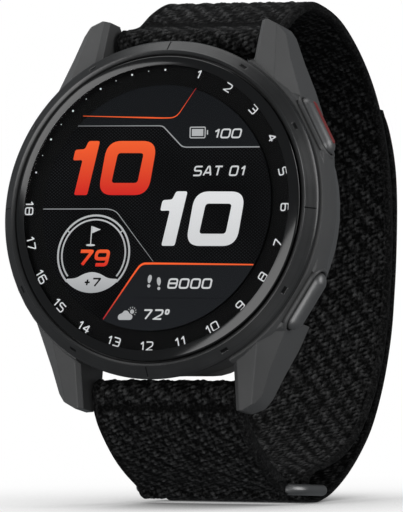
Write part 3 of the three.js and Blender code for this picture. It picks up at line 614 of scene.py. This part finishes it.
def dense(points, radius, step=0.4):
    """A rounded polyline with points all along it."""
    line = rounded(points, radius, False, 8)
    result = [line[0]]
    for a, b in zip(line, line[1:]):
        parts = max(1, int(np.linalg.norm(b - a) / step))
        result += [a + (b - a) * k / parts for k in range(1, parts + 1)]
    return result


def make_dial():
    """The numerals 1 to 18 and, over the rest of the ring, plain dots."""
    shapes = []
    for mark in range(1, 19):
        clockwise = 15.0 * mark
        turn = -clockwise if clockwise <= 90 else 180 - clockwise
        place = clockwise_from_top(NUMERAL_R, math.radians(clockwise))
        slant = 0.12 if mark == 1 else 0.0
        shapes += lettering(str(mark), place, 1.15, 1.0, 0.16, 0.2, slant, math.radians(turn), centred=True)
    for mark in range(19, 25):
        angle = math.radians(15.0 * mark)
        for half in ((0, 7.5) if mark < 24 else (0,)):
            spot = angle + math.radians(half)
            size = 0.13 if half == 0 else 0.07
            shapes.append([ring_of(clockwise_from_top(NUMERAL_R, spot), size, 16)])
    # The numerals are white print on the glass; their emission is a painted glow that makes them brighter than the
    # lamps alone would.
    printed = Look("dial_print_painted_glow", Roughness=0.5, Emission_Color=(0.8, 0.82, 0.85, 1), Emission_Strength=0.34)
    printed.vary(printed.noise(3.0, 2.0), 0.5, 0.56, "Base Color")
    plate("dial_numerals", shapes, DIGIT_Z, printed.material)


# Outlines of the large figures, as the first ten has them.
BIG_ONE = [(-9.69, 8.36), (-8.19, 8.35), (-9.44, 1.59), (-11.21, 1.59), (-10.38, 5.98), (-11.68, 5.94),
           (-11.45, 7.26), (-10.16, 7.34)]
BIG_ZERO = [(-7.15, 8.34), (-0.42, 8.29), (-1.2, 1.56), (-7.98, 1.58)]
BIG_ZERO_HOLE = [(-5.64, 6.83), (-2.14, 6.8), (-2.72, 3.06), (-6.27, 3.08)]
SECOND_TEN = (12.29, -6.36)     # from the first ten to the second


def big_ten(dx, dy):
    """The shapes of a large 1 and 0 side by side, moved from the first ten's place."""
    def moved(points):
        return [(x + dx, y + dy) for x, y in points]
    one = rounded(moved(BIG_ONE), 0.28, True, 4)
    zero = [rounded(moved(BIG_ZERO), 1.9, True, 10), rounded(moved(BIG_ZERO_HOLE), 0.45, True, 6)]
    return [[one], zero]


def make_field():
    """The dark field of the display, with its fine dots."""
    field = Look("display_field", Roughness=0.6, Specular_IOR_Level=0.0, Base_Color=(0.001, 0.001, 0.001, 1),
                 Emission_Strength=1.0)
    place = field.node("TexCoord").outputs["Object"]
    waves = []
    for tilt in (0.9, -0.9):
        spun = field.node("Mapping", {"Vector": place, "Rotation": (0, tilt, 0)}).outputs[0]
        waves.append(field.node("TexWave", {"Vector": spun, "Scale": 1.02 / MM}, bands_direction="X").outputs["Fac"])
    dots = field.math("MULTIPLY", *waves)
    broad = field.noise(0.09, 1.0)
    glow = field.math("MULTIPLY", dots, field.math("ADD", broad, 0.1))
    field.vary(glow, 0.0009, (0.022, 0.023, 0.026), "Emission Color", (0.05, 0.7))
    plate("display_field", [[ring_of((0, 0), DISPLAY_R, 120)]], FIELD_Z, field.material)


def make_lines():
    """The panels of the display and the lines along their edges."""
    top_line = [(-11.34, 10.26), (-0.2, 10.2), (0.25, 10.1), (2.9, 7.62), (3.4, 7.5), (13.34, 7.47)]
    orange_top = [(-10.75, 11.51), (0.13, 11.16), (1.9, 11.2), (4.3, 14.87)]
    low_line = [(-6.1, -13.9), (-2.2, -8.0), (-1.45, -6.98), (0.2, -6.96), (13.54, -7.1)]
    left_line = [(-15.3, -0.15), (-6.3, -0.16), (-5.3, -0.5), (0.11, -6.72)]

    top_edge, low_edge = dense(top_line, 1.2), dense(low_line, 1.6)
    panels = []
    for edge, line, whole_turn in ((top_edge, top_line, 0), (low_edge, low_line, 360)):
        rim = arc(clock(line[-1]), whole_turn + clock(line[0]), DISPLAY_R)
        panels.append([[*inside_display(edge), *rim]])
    plate("display_panels", panels, PANEL_Z, lit("display_panels", (0.0125, 0.0138, 0.0158), (0.0078, 0.0087, 0.01)))

    grey = [tapered(top_edge, 0.05, 0.14, 0.14), tapered(dense(left_line, 1.4), 0.1, 0.12, 0.04)]
    plate("display_grey_lines", grey, LINE_Z, lit("line_grey", GREY))
    warm = [tapered(dense(orange_top, 1.9), 0.06, 0.17, 0.05)]
    plate("display_top_line", warm, LINE_Z, lit("line_warm_top", ORANGE, MAGENTA, (11.4, 14.9)))
    warm = [tapered(low_edge, 0.14, 0.27, 0.16)]
    plate("display_low_line", warm, LINE_Z, lit("line_warm_low", MAGENTA, ORANGE, (-13.9, -8.2)))
    separator = [tapered(dense([(-2.2, -11.25), (10.4, -11.25)], 0.5), 0.04, 0.06, 0.04)]
    plate("display_separator", separator, LINE_Z, lit("line_dark", (0.004, 0.004, 0.005)))


def make_figures():
    """The time, the date, the battery's charge, the steps and the temperature."""
    plate("display_hours", big_ten(0, 0), DIGIT_Z, lit("digits_warm", RED, ORANGE, (1.6, 8.2)))
    plate("display_minutes", big_ten(*SECOND_TEN), DIGIT_Z,
          lit("digits_pale", PALE, (0.74, 0.75, 0.76), (-4.8, 1.9)))

    small = lettering("100", (6.95, 8.56), 1.22, 1.3, 0.2, 0.16, 0.2)
    small += lettering("SAT 01", (4.6, 3.87), 1.3, 1.16, 0.2, 0.19, 0.2)
    small += lettering("8000", (2.2, -10.1), 1.3, 1.32, 0.22, 0.2, 0.16)
    small += lettering("72o", (-0.9, -13.96), 1.32, 1.26, 0.22, 0.2, 0.16)
    plate("display_small_text", small, DIGIT_Z, lit("text_pale", (0.58, 0.59, 0.6)))


def make_icons():
    """A full battery, a shoe print and a cloud with the sun."""
    icons = [thick_line(rounded([(3.95, 8.65), (5.95, 8.65), (5.9, 9.98), (3.88, 9.98)], 0.15), 0.13, True)]
    icons += [[[(4.18, 8.88), (5.7, 8.88), (5.66, 9.75), (4.12, 9.75)]]]
    icons += [[[(6.17, 9.05), (6.33, 9.05), (6.3, 9.6), (6.14, 9.6)]]]
    for x, y, tilt in ((-0.18, -8.9, 0.18), (1.08, -9.2, -0.18)):
        sole = [(x + 0.26 * math.cos(a) * (1 + 0.15 * math.sin(a)) + tilt * 0.3 * math.sin(a), y + 0.52 * math.sin(a))
                for a in np.linspace(0, 2 * math.pi, 24, endpoint=False)]
        heel = [(x - tilt * 0.3 + 0.2 * math.cos(a), y - 0.86 + 0.2 * math.sin(a))
                for a in np.linspace(0, 2 * math.pi, 16, endpoint=False)]
        icons += [[sole], [heel]]
    cloud = [(-4.0, -13.98), (-2.32, -13.98), (-2.1, -13.6), (-2.3, -13.3), (-2.6, -13.2), (-2.8, -12.85),
             (-3.3, -12.8), (-3.55, -13.15), (-4.0, -13.3), (-4.15, -13.65)]
    icons += [[rounded(cloud, 0.2, True, 3)]]
    sun = (-2.25, -12.95)
    for k in range(7):
        icons += spoke(sun, 0.42, 0.62, -60 + 32 * k, 0.07)
    icons += [[ring_of(sun, 0.27, 20)]]
    plate("display_icons", icons, DIGIT_Z, lit("icon_grey", (0.42, 0.43, 0.44)))


def make_score():
    """The score dial, with its value, its difference from par in a cap below and a flag above."""
    score = (-8.01, -5.79)
    outer_r, inner_r = 4.82, 4.3

    def around(radius, start, end, count=60):
        return [(score[0] + x, score[1] + y) for x, y in arc(start, end, radius, count)]

    rings = [thick_line(around(outer_r, -136, 136), 0.24), thick_line(around(inner_r, -130, 130), 0.2)]
    for clockwise in (-52, 52):
        rings += spoke(score, inner_r, outer_r, clockwise, 0.16)
    plate("score_ring", rings, LINE_Z, lit("ring_grey", (0.36, 0.37, 0.38), (0.46, 0.47, 0.48), (-10.6, -1)))
    crest = [(score[0] + x, score[1] + y) for x, y in [
        (3.35, -3.1), (2.2, -3.05), (1.1, -2.45), (0, -2.2), (-1.1, -2.45), (-2.2, -3.05), (-3.35, -3.1)]]
    bowl = around(4.85, 360 - 133, 133, 40)
    cap = [[*bowl, *rounded(crest, 0.9, False, 6)]]
    plate("score_cap", [cap], LINE_Z, lit("cap_grey", (0.36, 0.37, 0.38), (0.5, 0.51, 0.52), (-10.6, -8)))
    plate("score_delta", lettering("+7", (-9.15, -9.9), 1.15, 1.2, 0.21, 0.14, 0.14), DIGIT_Z, BLACK)
    plate("score_value", lettering("79", (-10.25, -7.34), 2.1, 2.0, 0.42, 0.22, 0.16), DIGIT_Z,
          lit("score_warm", RED, ORANGE, (-7.4, -5.2)))
    flag = [[[(-8.55, -4.6), (-8.43, -4.6), (-8.43, -2.3), (-8.55, -2.3)]]]
    flag += [[[(-8.4, -2.32), (-7.25, -2.72), (-8.4, -3.2)]]]
    hole = [(-8.49 + 0.62 * math.cos(a), -4.68 + 0.13 * math.sin(a)) for a in np.linspace(0, 6.28, 24, endpoint=False)]
    plate("score_flag", [*flag, [hole]], DIGIT_Z, lit("flag_pale", (0.55, 0.56, 0.57)))


# ---------------------------------------------------------------- strap

# Centre lines of the three layers, (y, z) from the centre of the glass as seen from the side.
LONG_LINE = [
    (13.0, 21.6), (16.9, 22.2), (21.4, 24.25), (26.3, 25.4), (31.2, 24.75), (36.25, 22.95), (41.85, 19.3),
    (46.45, 14.8), (49.85, 9.3), (51.8, 3.0), (52.2, -4.0), (51.5, -10.9), (49.9, -17.2), (46.8, -23.1),
    (42.2, -28.0), (36.9, -31.0), (31.5, -32.4), (27.6, -32.9), (25.3, -33.7), (24.55, -35.0),
]
OUTER_LINE = [
    (24.55, -35.15), (24.6, -35.6), (24.75, -36.3), (25.4, -36.65), (26.8, -36.72), (29.0, -36.7), (32.6, -35.85),
    (37.5, -33.75), (42.3, -30.75), (46.1, -27.35), (49.65, -22.1), (52.1, -16.2), (53.2, -10.7), (53.85, -5.3),
    (53.95, 1.2), (53.2, 6.0), (51.35, 10.1), (48.95, 13.0),
]
SHORT_LINE = [
    (4.1, -24.6), (5.4, -26.6), (7.9, -29.0), (10.5, -31.0), (13.2, -32.6), (15.9, -33.9), (18.0, -34.95),
]
STRAP_HALF = 10.0               # half the strap's width
LEAN_Y, LEAN_Z = -OUT.y, OUT.z
BAR_Y, BAR_Z = 22.0, -8.4       # the spring bars, in the head's own frame
UPPER_BAR = (BAR_Y * LEAN_Z - BAR_Z * LEAN_Y, BAR_Y * LEAN_Y + BAR_Z * LEAN_Z)
LOWER_BAR = (-BAR_Y * LEAN_Z - BAR_Z * LEAN_Y, -BAR_Y * LEAN_Y + BAR_Z * LEAN_Z)
RING_FRONT = (18.2, -35.1)
RING_REAR = (26.15, -35.45)
LINE_STEP = 0.5
STEP_ALONG = 0.23
COLUMN = 0.82                   # pitch of the knit's columns
ROW = 0.72                      # pitch of its rows
RIB = 2.76                      # pitch of the slanting ribs, along the strap
STEP_ACROSS = COLUMN / 4
SELVEDGE = 0.95                 # width of the smooth edge
SPRING_BAR_BORE, RING_BORE = 1.05, 0.95
NOTCH_X, NOTCH_REACH, NOTCH_HALF, NOTCH_DEEP = (4.75, 8.1), 2.3, 0.8, 0.72      # where a release stud sticks out
NARROWING = 1.1                 # how far each edge of the short strap is drawn in behind the ring's front bar


def smooth_line(points, step):
    """A Catmull-Rom line through the points, sampled at even steps."""
    pts = np.array(points, float)
    padded = np.vstack([pts[:1], pts, pts[-1:]])
    dense_points = []
    for i in range(len(pts) - 1):
        p0, p1, p2, p3 = padded[i:i + 4]
        for t in np.linspace(0, 1, 24, endpoint=False):
            v0, v1 = (p2 - p0) * 0.5, (p3 - p1) * 0.5
            dense_points.append((2 * p1 - 2 * p2 + v0 + v1) * t ** 3
                                + (-3 * p1 + 3 * p2 - 2 * v0 - v1) * t ** 2 + v0 * t + p1)
    dense_points.append(pts[-1])
    return evenly(np.array(dense_points), step)


def evenly(line, step, closed=False):
    """A polyline sampled again at even steps."""
    if closed:
        line = np.vstack([line, line[:1]])
    lengths = np.concatenate([[0], np.cumsum(np.linalg.norm(np.diff(line, axis=0), axis=1))])
    count = max(3, int(round(lengths[-1] / step)))
    at = np.linspace(0, lengths[-1], count + 1)
    if closed:
        at = at[:-1]
    return np.column_stack([np.interp(at, lengths, line[:, k]) for k in (0, 1)])


def loop_arc(centre, radius, start, end):
    """Points round a circle the long way from one point to another."""
    a, b = [math.atan2(p[1] - centre[1], p[0] - centre[0]) for p in (start, end)]
    sweep = (b - a) % (2 * math.pi)
    if sweep < math.pi:
        sweep -= 2 * math.pi
    count = max(8, int(abs(sweep) * radius / STEP_ALONG))
    angles = [a + sweep * k / count for k in range(1, count)]
    return [(centre[0] + radius * math.cos(angle), centre[1] + radius * math.sin(angle)) for angle in angles]


def band_outline(line, half, start_loop=None, end_loop=None):
    """The closed side outline of a band, with a round loop at either end where the band turns about a bar."""
    left, right = side_lines(line, half)

    for centre, radius in filter(None, (start_loop, end_loop)):
        left, right = [face[np.linalg.norm(face - centre, axis=1) > radius + 0.02] for face in (left, right)]
    parts = [left]
    if end_loop:
        parts.append(loop_arc(*end_loop, left[-1], right[-1]))
    parts.append(right[::-1])
    if start_loop:
        parts.append(loop_arc(*start_loop, right[0], left[0]))
    outline = evenly(np.vstack([np.array(p) for p in parts]), STEP_ALONG, True)
    for _ in range(3):
        outline = outline * 0.5 + (np.roll(outline, 1, 0) + np.roll(outline, -1, 0)) * 0.25
    return outline


def hashed(i, j):
    """A repeatable value from 0 to 1 for each cell."""
    mixed = np.sin(i * 12.9898 + j * 78.233) * 43758.5453
    return mixed - np.floor(mixed)


def clumps(x, s, size, seed):
    """Smooth, repeatable unevenness from 0 to 1 with bumps about `size` across."""
    u, v = x / size, s / size
    i, j = np.floor(u), np.floor(v)
    fu, fv = u - i, v - j
    fu, fv = fu * fu * (3 - 2 * fu), fv * fv * (3 - 2 * fv)
    low = hashed(i + seed, j) * (1 - fu) + hashed(i + 1 + seed, j) * fu
    high = hashed(i + seed, j + 1) * (1 - fu) + hashed(i + 1 + seed, j + 1) * fu
    return low * (1 - fv) + high * fv


def knit_height(x, s):
    """Relief of the knit from 0 to 1: staggered, leaning loops of uneven height, banked into slanting ribs."""
    x, s = x + 0.34 * (clumps(x, s, 1.3, 5) - 0.5), s + 0.4 * (clumps(x, s, 1.1, 19) - 0.5)
    column = np.floor(x / COLUMN)
    t = s / ROW + 0.5 * (column % 2)
    line = np.floor(t)
    uneven = hashed(column, line)
    shift = 0.3 * (hashed(column + 7, line + 3) - 0.5)
    fx, fs = x / COLUMN - column - 0.5 + 0.5 * shift, t - line - 0.5 + shift
    lean = fx - 0.55 * fs
    dome = np.clip(1.1 - (lean * lean * 4.2 + fs * fs * 2.6), 0, 1) ** 0.8
    rib = 0.5 + 0.5 * np.cos(2 * math.pi * (s + 1.15 * x) / RIB)
    fine = clumps(x, s, 0.42, 31)
    return np.clip(dome * (0.12 + 0.54 * rib + 0.42 * (uneven - 0.3)) + 0.42 * (fine - 0.48), 0, 1)


def woven_band(name, outline, holes, plain, body, stands_for, relief=0.27, half_width=None, notch=None):
    """
    A knitted band: its skin, with relief and a smooth selvedge, two closed edges and any bores across it.
    Plain lists smooth spots with their reach. Notch is a bar and a direction from it, where a slot clears a stud.
    """
    rows = len(outline)
    columns = int(round(2 * STRAP_HALF / STEP_ACROSS)) + 1
    across = np.linspace(-STRAP_HALF, STRAP_HALF, columns)
    across[1], across[-2] = -STRAP_HALF + 0.06, STRAP_HALF - 0.06
    tangent = np.roll(outline, -1, 0) - np.roll(outline, 1, 0)
    tangent /= np.linalg.norm(tangent, axis=1)[:, None]
    outward = np.column_stack([tangent[:, 1], -tangent[:, 0]]) * (1 if signed_area(outline) > 0 else -1)
    along = np.arange(rows) * STEP_ALONG
    x, s = np.meshgrid(across, along)
    inner = np.clip((STRAP_HALF - np.abs(x) - SELVEDGE + 0.35) / 0.35, 0, 1)
    smooth_here = np.ones(rows)
    for spot, reach in plain:
        smooth_here *= np.clip((np.linalg.norm(outline - spot, axis=1) - reach) / 0.4, 0, 1)
    height = knit_height(x, s) * inner * (0.12 + 0.88 * smooth_here[:, None])
    edge = STRAP_HALF - np.abs(x)
    roll_in = 0.28 * np.clip(1 - edge / 0.45, 0, 1) ** 2
    groove = 0.10 * np.exp(-((edge - SELVEDGE) / 0.12) ** 2)
    lift = relief * (height - 0.6) * inner - roll_in - groove + 0.03 * np.sin(x * 24) * (1 - inner) * (edge > 0.1)
    if notch:
        centre, turn = notch
        toward = np.array([math.cos(turn), math.sin(turn)])
        from_bar = outline - np.array(centre)
        level = from_bar @ toward
        off_line = np.abs(from_bar @ np.array([-toward[1], toward[0]]))
        on_line = (level > 0) & (level < NOTCH_REACH) & (off_line < NOTCH_HALF)
        lift = np.where(on_line[:, None] & (x > NOTCH_X[0]) & (x < NOTCH_X[1]), -NOTCH_DEEP, lift)
    wide = np.ones(rows) if half_width is None else half_width(outline) / STRAP_HALF
    lifted = [outline[:, k:k + 1] + outward[:, k:k + 1] * lift for k in (0, 1)]
    vertices = [tuple(p) for p in np.stack([x * wide[:, None], *lifted], -1).reshape(-1, 3)]
    # Relief height kept on the mesh for the painted highlight on the loops and the painted shade in the gaps, with a
    # flat own tone on the smooth selvedge.
    painted_relief_shade_and_selvedge = list((height * 0.9 + 0.2 * (1 - inner)).reshape(-1))
    faces = grid_faces(rows, columns, True, False)
    rims = [[[i * columns + column for i in range(rows)]] for column in (0, columns - 1)]
    for centre, radius in holes:
        count = 40
        for side in (0, 1):
            start = len(vertices)
            for k in range(count):
                a = 2 * math.pi * k / count
                spot = np.array([[centre[0] + radius * math.cos(a), centre[1] + radius * math.sin(a)]])
                reach = STRAP_HALF if half_width is None else float(half_width(spot)[0])
                vertices.append(((-reach, reach)[side], *spot[0]))
                painted_relief_shade_and_selvedge.append(0.1)
            rims[side].append(list(range(start, start + count)))
        low, high = rims[0][-1], rims[1][-1]
        faces += [(low[k], low[(k + 1) % count], high[(k + 1) % count], high[k]) for k in range(count)]
    for side in (0, 1):
        flat = [[Vector((vertices[i][1], vertices[i][2], 0)) for i in rim] for rim in rims[side]]
        order = [i for rim in rims[side] for i in rim]
        faces += [[order[i] for i in tri] for tri in geometry.tessellate_polygon(flat)]
    return piece(name, upright(vertices), faces, KNIT, body, stands_for, marked=painted_relief_shade_and_selvedge)


def make_straps():
    """The long strap's inner layer, its outer layer that turns back round the ring, and the short strap."""
    line = smooth_line(LONG_LINE, LINE_STEP)
    run = np.linspace(0, 1, len(line))
    half = np.interp(run, [0, 0.62, 0.84, 1], [0.64, 0.62, 0.42, 0.34])
    outline = band_outline(line, half, start_loop=(UPPER_BAR, 1.88))
    by_lugs = [((17.2, 23.0), 0.55), ((17.4, 21.6), 0.55)]
    woven_band("strap_inner_layer", outline, [(UPPER_BAR, SPRING_BAR_BORE)], by_lugs, "long_strap", ["strap_long"],
               notch=(UPPER_BAR, -0.9))

    line = smooth_line(OUTER_LINE, LINE_STEP)
    run = np.linspace(0, 1, len(line))
    half = np.interp(run, [0, 0.72, 0.86, 0.97, 1], [0.3, 0.3, 0.44, 0.36, 0.14])
    outline = band_outline(line, half)
    outer = woven_band("strap_outer_layer", outline, [], [(OUTER_LINE[-1], 1.5)], None,
                       ["strap_fold", "strap_tail"], 0.16)
    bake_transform(outer)

    def narrowed(points):
        behind = np.clip((points[:, 0] - RING_FRONT[0] - 0.1) / 0.7, 0, 1)
        return STRAP_HALF - NARROWING * behind * behind * (3 - 2 * behind)

    line = smooth_line(SHORT_LINE, LINE_STEP)
    outline = band_outline(line, 0.95, start_loop=(LOWER_BAR, 1.86), end_loop=(RING_FRONT, 1.48))
    bores = [(LOWER_BAR, SPRING_BAR_BORE), (RING_FRONT, RING_BORE)]
    woven_band("strap_short_band", outline, bores, [((2.9, -24.9), 0.5)], "short_strap", ["strap_short"],
               half_width=narrowed, notch=(LOWER_BAR, 0.35))


def quarter_turns(corners, steps):
    """Points and outward directions round a frame. Corners are (first angle in degrees, centre x, centre y, radius)."""
    result = []
    for start, x, y, radius in corners:
        for k in range(steps + 1):
            a = math.radians(start + 90 * k / steps)
            result.append((x + radius * math.cos(a), y + radius * math.sin(a), math.cos(a), math.sin(a)))
    return result


def make_ring():
    """The metal ring: a rounded bar bent round a frame with softer corners in front."""
    thick, bar, outer_x = 1.4, 1.5, 11.8
    along = np.array(RING_REAR) - np.array(RING_FRONT)
    length = float(np.linalg.norm(along)) + 1.1          # so that its end stands out of the fold
    tilt = math.atan2(along[1], along[0])
    reach, front_r, rear_r = outer_x - bar / 2, 2.9, 1.3
    path = quarter_turns([
        (180, front_r - reach, front_r, front_r), (270, reach - front_r, front_r, front_r),
        (0, reach - rear_r, length - rear_r, rear_r), (90, rear_r - reach, length - rear_r, rear_r),
    ], 8)
    soft = 0.69
    flat_x, flat_z = bar / 2 - soft, thick / 2 - soft
    section = quarter_turns([(0, flat_x, flat_z, soft), (90, -flat_x, flat_z, soft), (180, -flat_x, -flat_z, soft),
                             (270, flat_x, -flat_z, soft)], 4)
    vertices = []
    for x, y, nx, ny in path:
        for out, lift, *_ in section:
            far = y + ny * out
            vertices.append((x + nx * out, RING_FRONT[0] + far * math.cos(tilt) - lift * math.sin(tilt),
                             RING_FRONT[1] + far * math.sin(tilt) + lift * math.cos(tilt)))
    faces = grid_faces(len(path), len(section), True, True)
    piece("ring_loop", upright(vertices), faces, RING, "ring", ["strap_ring"])


# ---------------------------------------------------------------- buttons

BUTTON_Z = -5.0
BUTTON_FACE = 22.9
BUTTON_ROOT = 21.05
CAP_SIZE, STRIPE_SIZE, COLLAR_SIZE = (7.9, 2.6), (6.1, 0.86), (8.75, 3.45)       # length and height
CAP_STEM = (0.78, 16.9, 21.1)
BUTTON_TURNS = {"upper": 30, "lower": -30}          # degrees above 3 o'clock
COLLAR_OUT, COLLAR_HALF_HIGH, COLLAR_HALF_WIDE = 21.42, 0.34, 0.24


def on_flank(turn, far, t, z):
    """A point beside a button: how far out, how far along the flank and how far above the button's middle."""
    return far * math.cos(turn) - t * math.sin(turn), far * math.sin(turn) + t * math.cos(turn), BUTTON_Z + z


def pill(long, tall, inset, count=72):
    """The outline of a rounded-end bar, drawn in as far as the inset."""
    radius, reach = tall / 2 - inset, (long - tall) / 2
    result = []
    for k in range(count):
        a = 2 * math.pi * (k + 0.5) / count
        result.append((math.copysign(reach, math.cos(a)) + radius * math.cos(a), radius * math.sin(a)))
    return result


def button_piece(name, degrees, size, levels, material, body, stands_for, stem=None):
    """
    A solid lozenge that bows away at its ends. Levels are (inset, distance from the middle of the watch).
    Stem is a radius and the distances where a round stem begins and ends.
    """
    turn = math.radians(degrees)
    vertices = []
    for inset, out in levels:
        for t, z in pill(*size, inset):
            bow = 0.42 * (abs(t) / 3.95) ** 2.6 * (out - BUTTON_ROOT) / (BUTTON_FACE - BUTTON_ROOT)
            vertices.append(on_flank(turn, out - bow, t, z))
    count = len(vertices) // len(levels)
    faces = grid_faces(len(levels), count, False, True)
    faces += [tuple(range(count)), tuple(range((len(levels) - 1) * count, len(levels) * count))]
    if stem:
        radius, *ends = stem
        start = len(vertices)
        for far in ends:
            for k in range(24):
                a = math.pi * k / 12
                vertices.append(on_flank(turn, far, radius * math.cos(a), radius * math.sin(a)))
        faces += [tuple(start + i for i in face) for face in grid_faces(2, 24, False, True)]
        faces += [tuple(range(start, start + 24)), tuple(range(start + 24, start + 48))]
    return piece(name, head(vertices), faces, material, body, stands_for)


def make_buttons():
    """Two caps, a stripe on the upper one and a collar round each."""
    cap = [(0.0, BUTTON_ROOT), (0.0, 21.9), (0.04, 22.15), (0.14, 22.36), (0.3, 22.56), (0.5, 22.71), (0.72, 22.81),
           (0.98, 22.87), (1.24, BUTTON_FACE)]
    for which, degrees in BUTTON_TURNS.items():
        body = which + "_button"
        button_piece(body + "_cap", degrees, CAP_SIZE, cap, BUTTON, body, [body], CAP_STEM)
    stripe = [(0.0, 22.6), (0.0, 22.88), (0.05, 22.93), (0.14, 22.95), (0.36, 22.95)]
    button_piece("upper_button_stripe", BUTTON_TURNS["upper"], STRIPE_SIZE, stripe, ACCENT, "upper_button",
                 ["upper_button_inlay"])
    for which, degrees in BUTTON_TURNS.items():
        make_collar(which + "_button_collar", math.radians(degrees))


def make_collar(name, turn):
    """The rounded lip of the case round a button."""
    path = pill(*COLLAR_SIZE, 0.0)
    count = 10
    vertices = []
    for k, (t, z) in enumerate(path):
        before, after = path[k - 1], path[(k + 1) % len(path)]
        out = np.array([after[1] - before[1], before[0] - after[0]])
        out /= np.linalg.norm(out)
        for j in range(count):
            a = 2 * math.pi * j / count
            wide = COLLAR_HALF_WIDE * math.cos(a)
            vertices.append(on_flank(turn, COLLAR_OUT + COLLAR_HALF_HIGH * math.sin(a), t + out[0] * wide,
                                     z + out[1] * wide))
    faces = grid_faces(len(path), count, True, True)
    piece(name, head(vertices), faces, CASE, "case")


make_bezel()
make_glass()
make_buttons()
make_dial()
make_field()
make_lines()
make_figures()
make_icons()
make_score()
make_straps()
make_ring()

# ---------------------------------------------------------------- floor, light and camera

FLOOR_HALF = 60.0               # metres
# The floor's shadow is painted, and reaches this far from the watch.
PAINTED_SHADOW_REACH = 0.075             # metres within which the watch darkens the floor
CAMERA_YAW = 23.93              # degrees, to the watch's right
CAMERA_OFFSET = (-5.697, 5.999, 797.435)    # from the camera to the glass: right, up and ahead
FOCAL_PIXELS, PICTURE_HIGH = 6500, 512


def make_stage():
    """A white floor that glows evenly, with a painted shadow where the watch closes off the sky above it."""
    floor = bpy.data.meshes.new("floor")
    corners = [(x * FLOOR_HALF, y * FLOOR_HALF, 0) for x, y in ((-1, -1), (1, -1), (1, 1), (-1, 1))]
    floor.from_pydata(corners, [], [(0, 1, 2, 3)])
    ground = into_scene("floor", floor)
    look = Look("floor_with_painted_shadow", Roughness=0.9, Specular_IOR_Level=0.0, Base_Color=(0, 0, 0, 1), Emission_Strength=1.0)
    # Painted shadow: ambient occlusion from the watch darkens the floor's glow; the floor takes no light from the
    # lamps.
    open_sky = look.node("AmbientOcclusion", {"Distance": PAINTED_SHADOW_REACH}, samples=12).outputs["AO"]
    grain = look.noise(0.5, 2.0)
    shade = look.math("ADD", open_sky, look.math("MULTIPLY", look.math("SUBTRACT", grain, 0.5), 0.01))
    look.link(look.ramp(shade, (0.0, 0.05), (0.45, 0.42), (0.8, 0.84), (0.97, 1.0)), "Emission Color")
    floor.materials.append(look.material)
    ground.visible_glossy = ground.visible_diffuse = ground.visible_shadow = False


def soft_box(name, place, size, power, lights="diffuse glossy"):
    """A rectangular lamp aimed at the glass, in metres and watts."""
    lamp = bpy.data.lights.new(name, "AREA")
    lamp.shape = "RECTANGLE"
    lamp.size, lamp.size_y = size
    lamp.energy = power
    made = into_scene(name, lamp)
    made.location = Vector(place)
    made.rotation_euler = (GLASS - made.location).to_track_quat("-Z", "Y").to_euler()
    made.visible_camera = False
    made.visible_diffuse = "diffuse" in lights
    made.visible_glossy = "glossy" in lights


def make_world():
    """A backdrop that is white to the camera and only dim to everything it lights."""
    world = bpy.data.worlds.new("studio")
    bpy.context.scene.world = world
    world.use_nodes = True
    tree = world.node_tree
    back, dim = tree.nodes["Background"], tree.nodes.new("ShaderNodeBackground")
    for shade, colour, strength in ((back, (1, 1, 1, 1), 1.0), (dim, (0.9, 0.95, 1.0, 1), 0.17)):
        shade.inputs["Color"].default_value = colour
        shade.inputs["Strength"].default_value = strength
    path, mix = tree.nodes.new("ShaderNodeLightPath"), tree.nodes.new("ShaderNodeMixShader")
    tree.links.new(path.outputs["Is Camera Ray"], mix.inputs[0])
    tree.links.new(dim.outputs[0], mix.inputs[1])
    tree.links.new(back.outputs[0], mix.inputs[2])
    tree.links.new(mix.outputs[0], tree.nodes["World Output"].inputs["Surface"])


def make_camera():
    """The photo's camera, level and turned to the watch's right."""
    yaw = math.radians(CAMERA_YAW)
    forward = Vector((-math.sin(yaw), math.cos(yaw), 0))
    side = Vector((math.cos(yaw), math.sin(yaw), 0))
    right, up, ahead = CAMERA_OFFSET
    lens = bpy.data.cameras.new("camera")
    lens.sensor_width = 36
    lens.lens = FOCAL_PIXELS / PICTURE_HIGH * lens.sensor_width
    lens.clip_start, lens.clip_end = 0.01, 20
    camera = into_scene("camera", lens)
    camera.location = GLASS - (side * right + Vector((0, 0, 1)) * up + forward * ahead) * MM
    camera.rotation_euler = forward.to_track_quat("-Z", "Y").to_euler()
    bpy.context.scene.camera = camera


make_stage()
for lamp_setting in (
    ("key_left", (-0.50, -0.10, 0.30), (0.45, 0.45), 2.4, "diffuse"),
    ("front_left", (-0.40, -0.37, 0.33), (0.34, 0.26), 0.62),
    ("front_card", (0.09, -0.55, -0.05), (0.44, 0.45), 1.5),
    ("right", (0.50, -0.02, 0.22), (0.32, 0.44), 1.25),
    ("overhead", (-0.15, 0.05, 0.60), (0.5, 0.4), 0.8),
):
    soft_box(*lamp_setting)
make_world()
make_camera()
bpy.context.scene.view_settings.view_transform = "Standard"
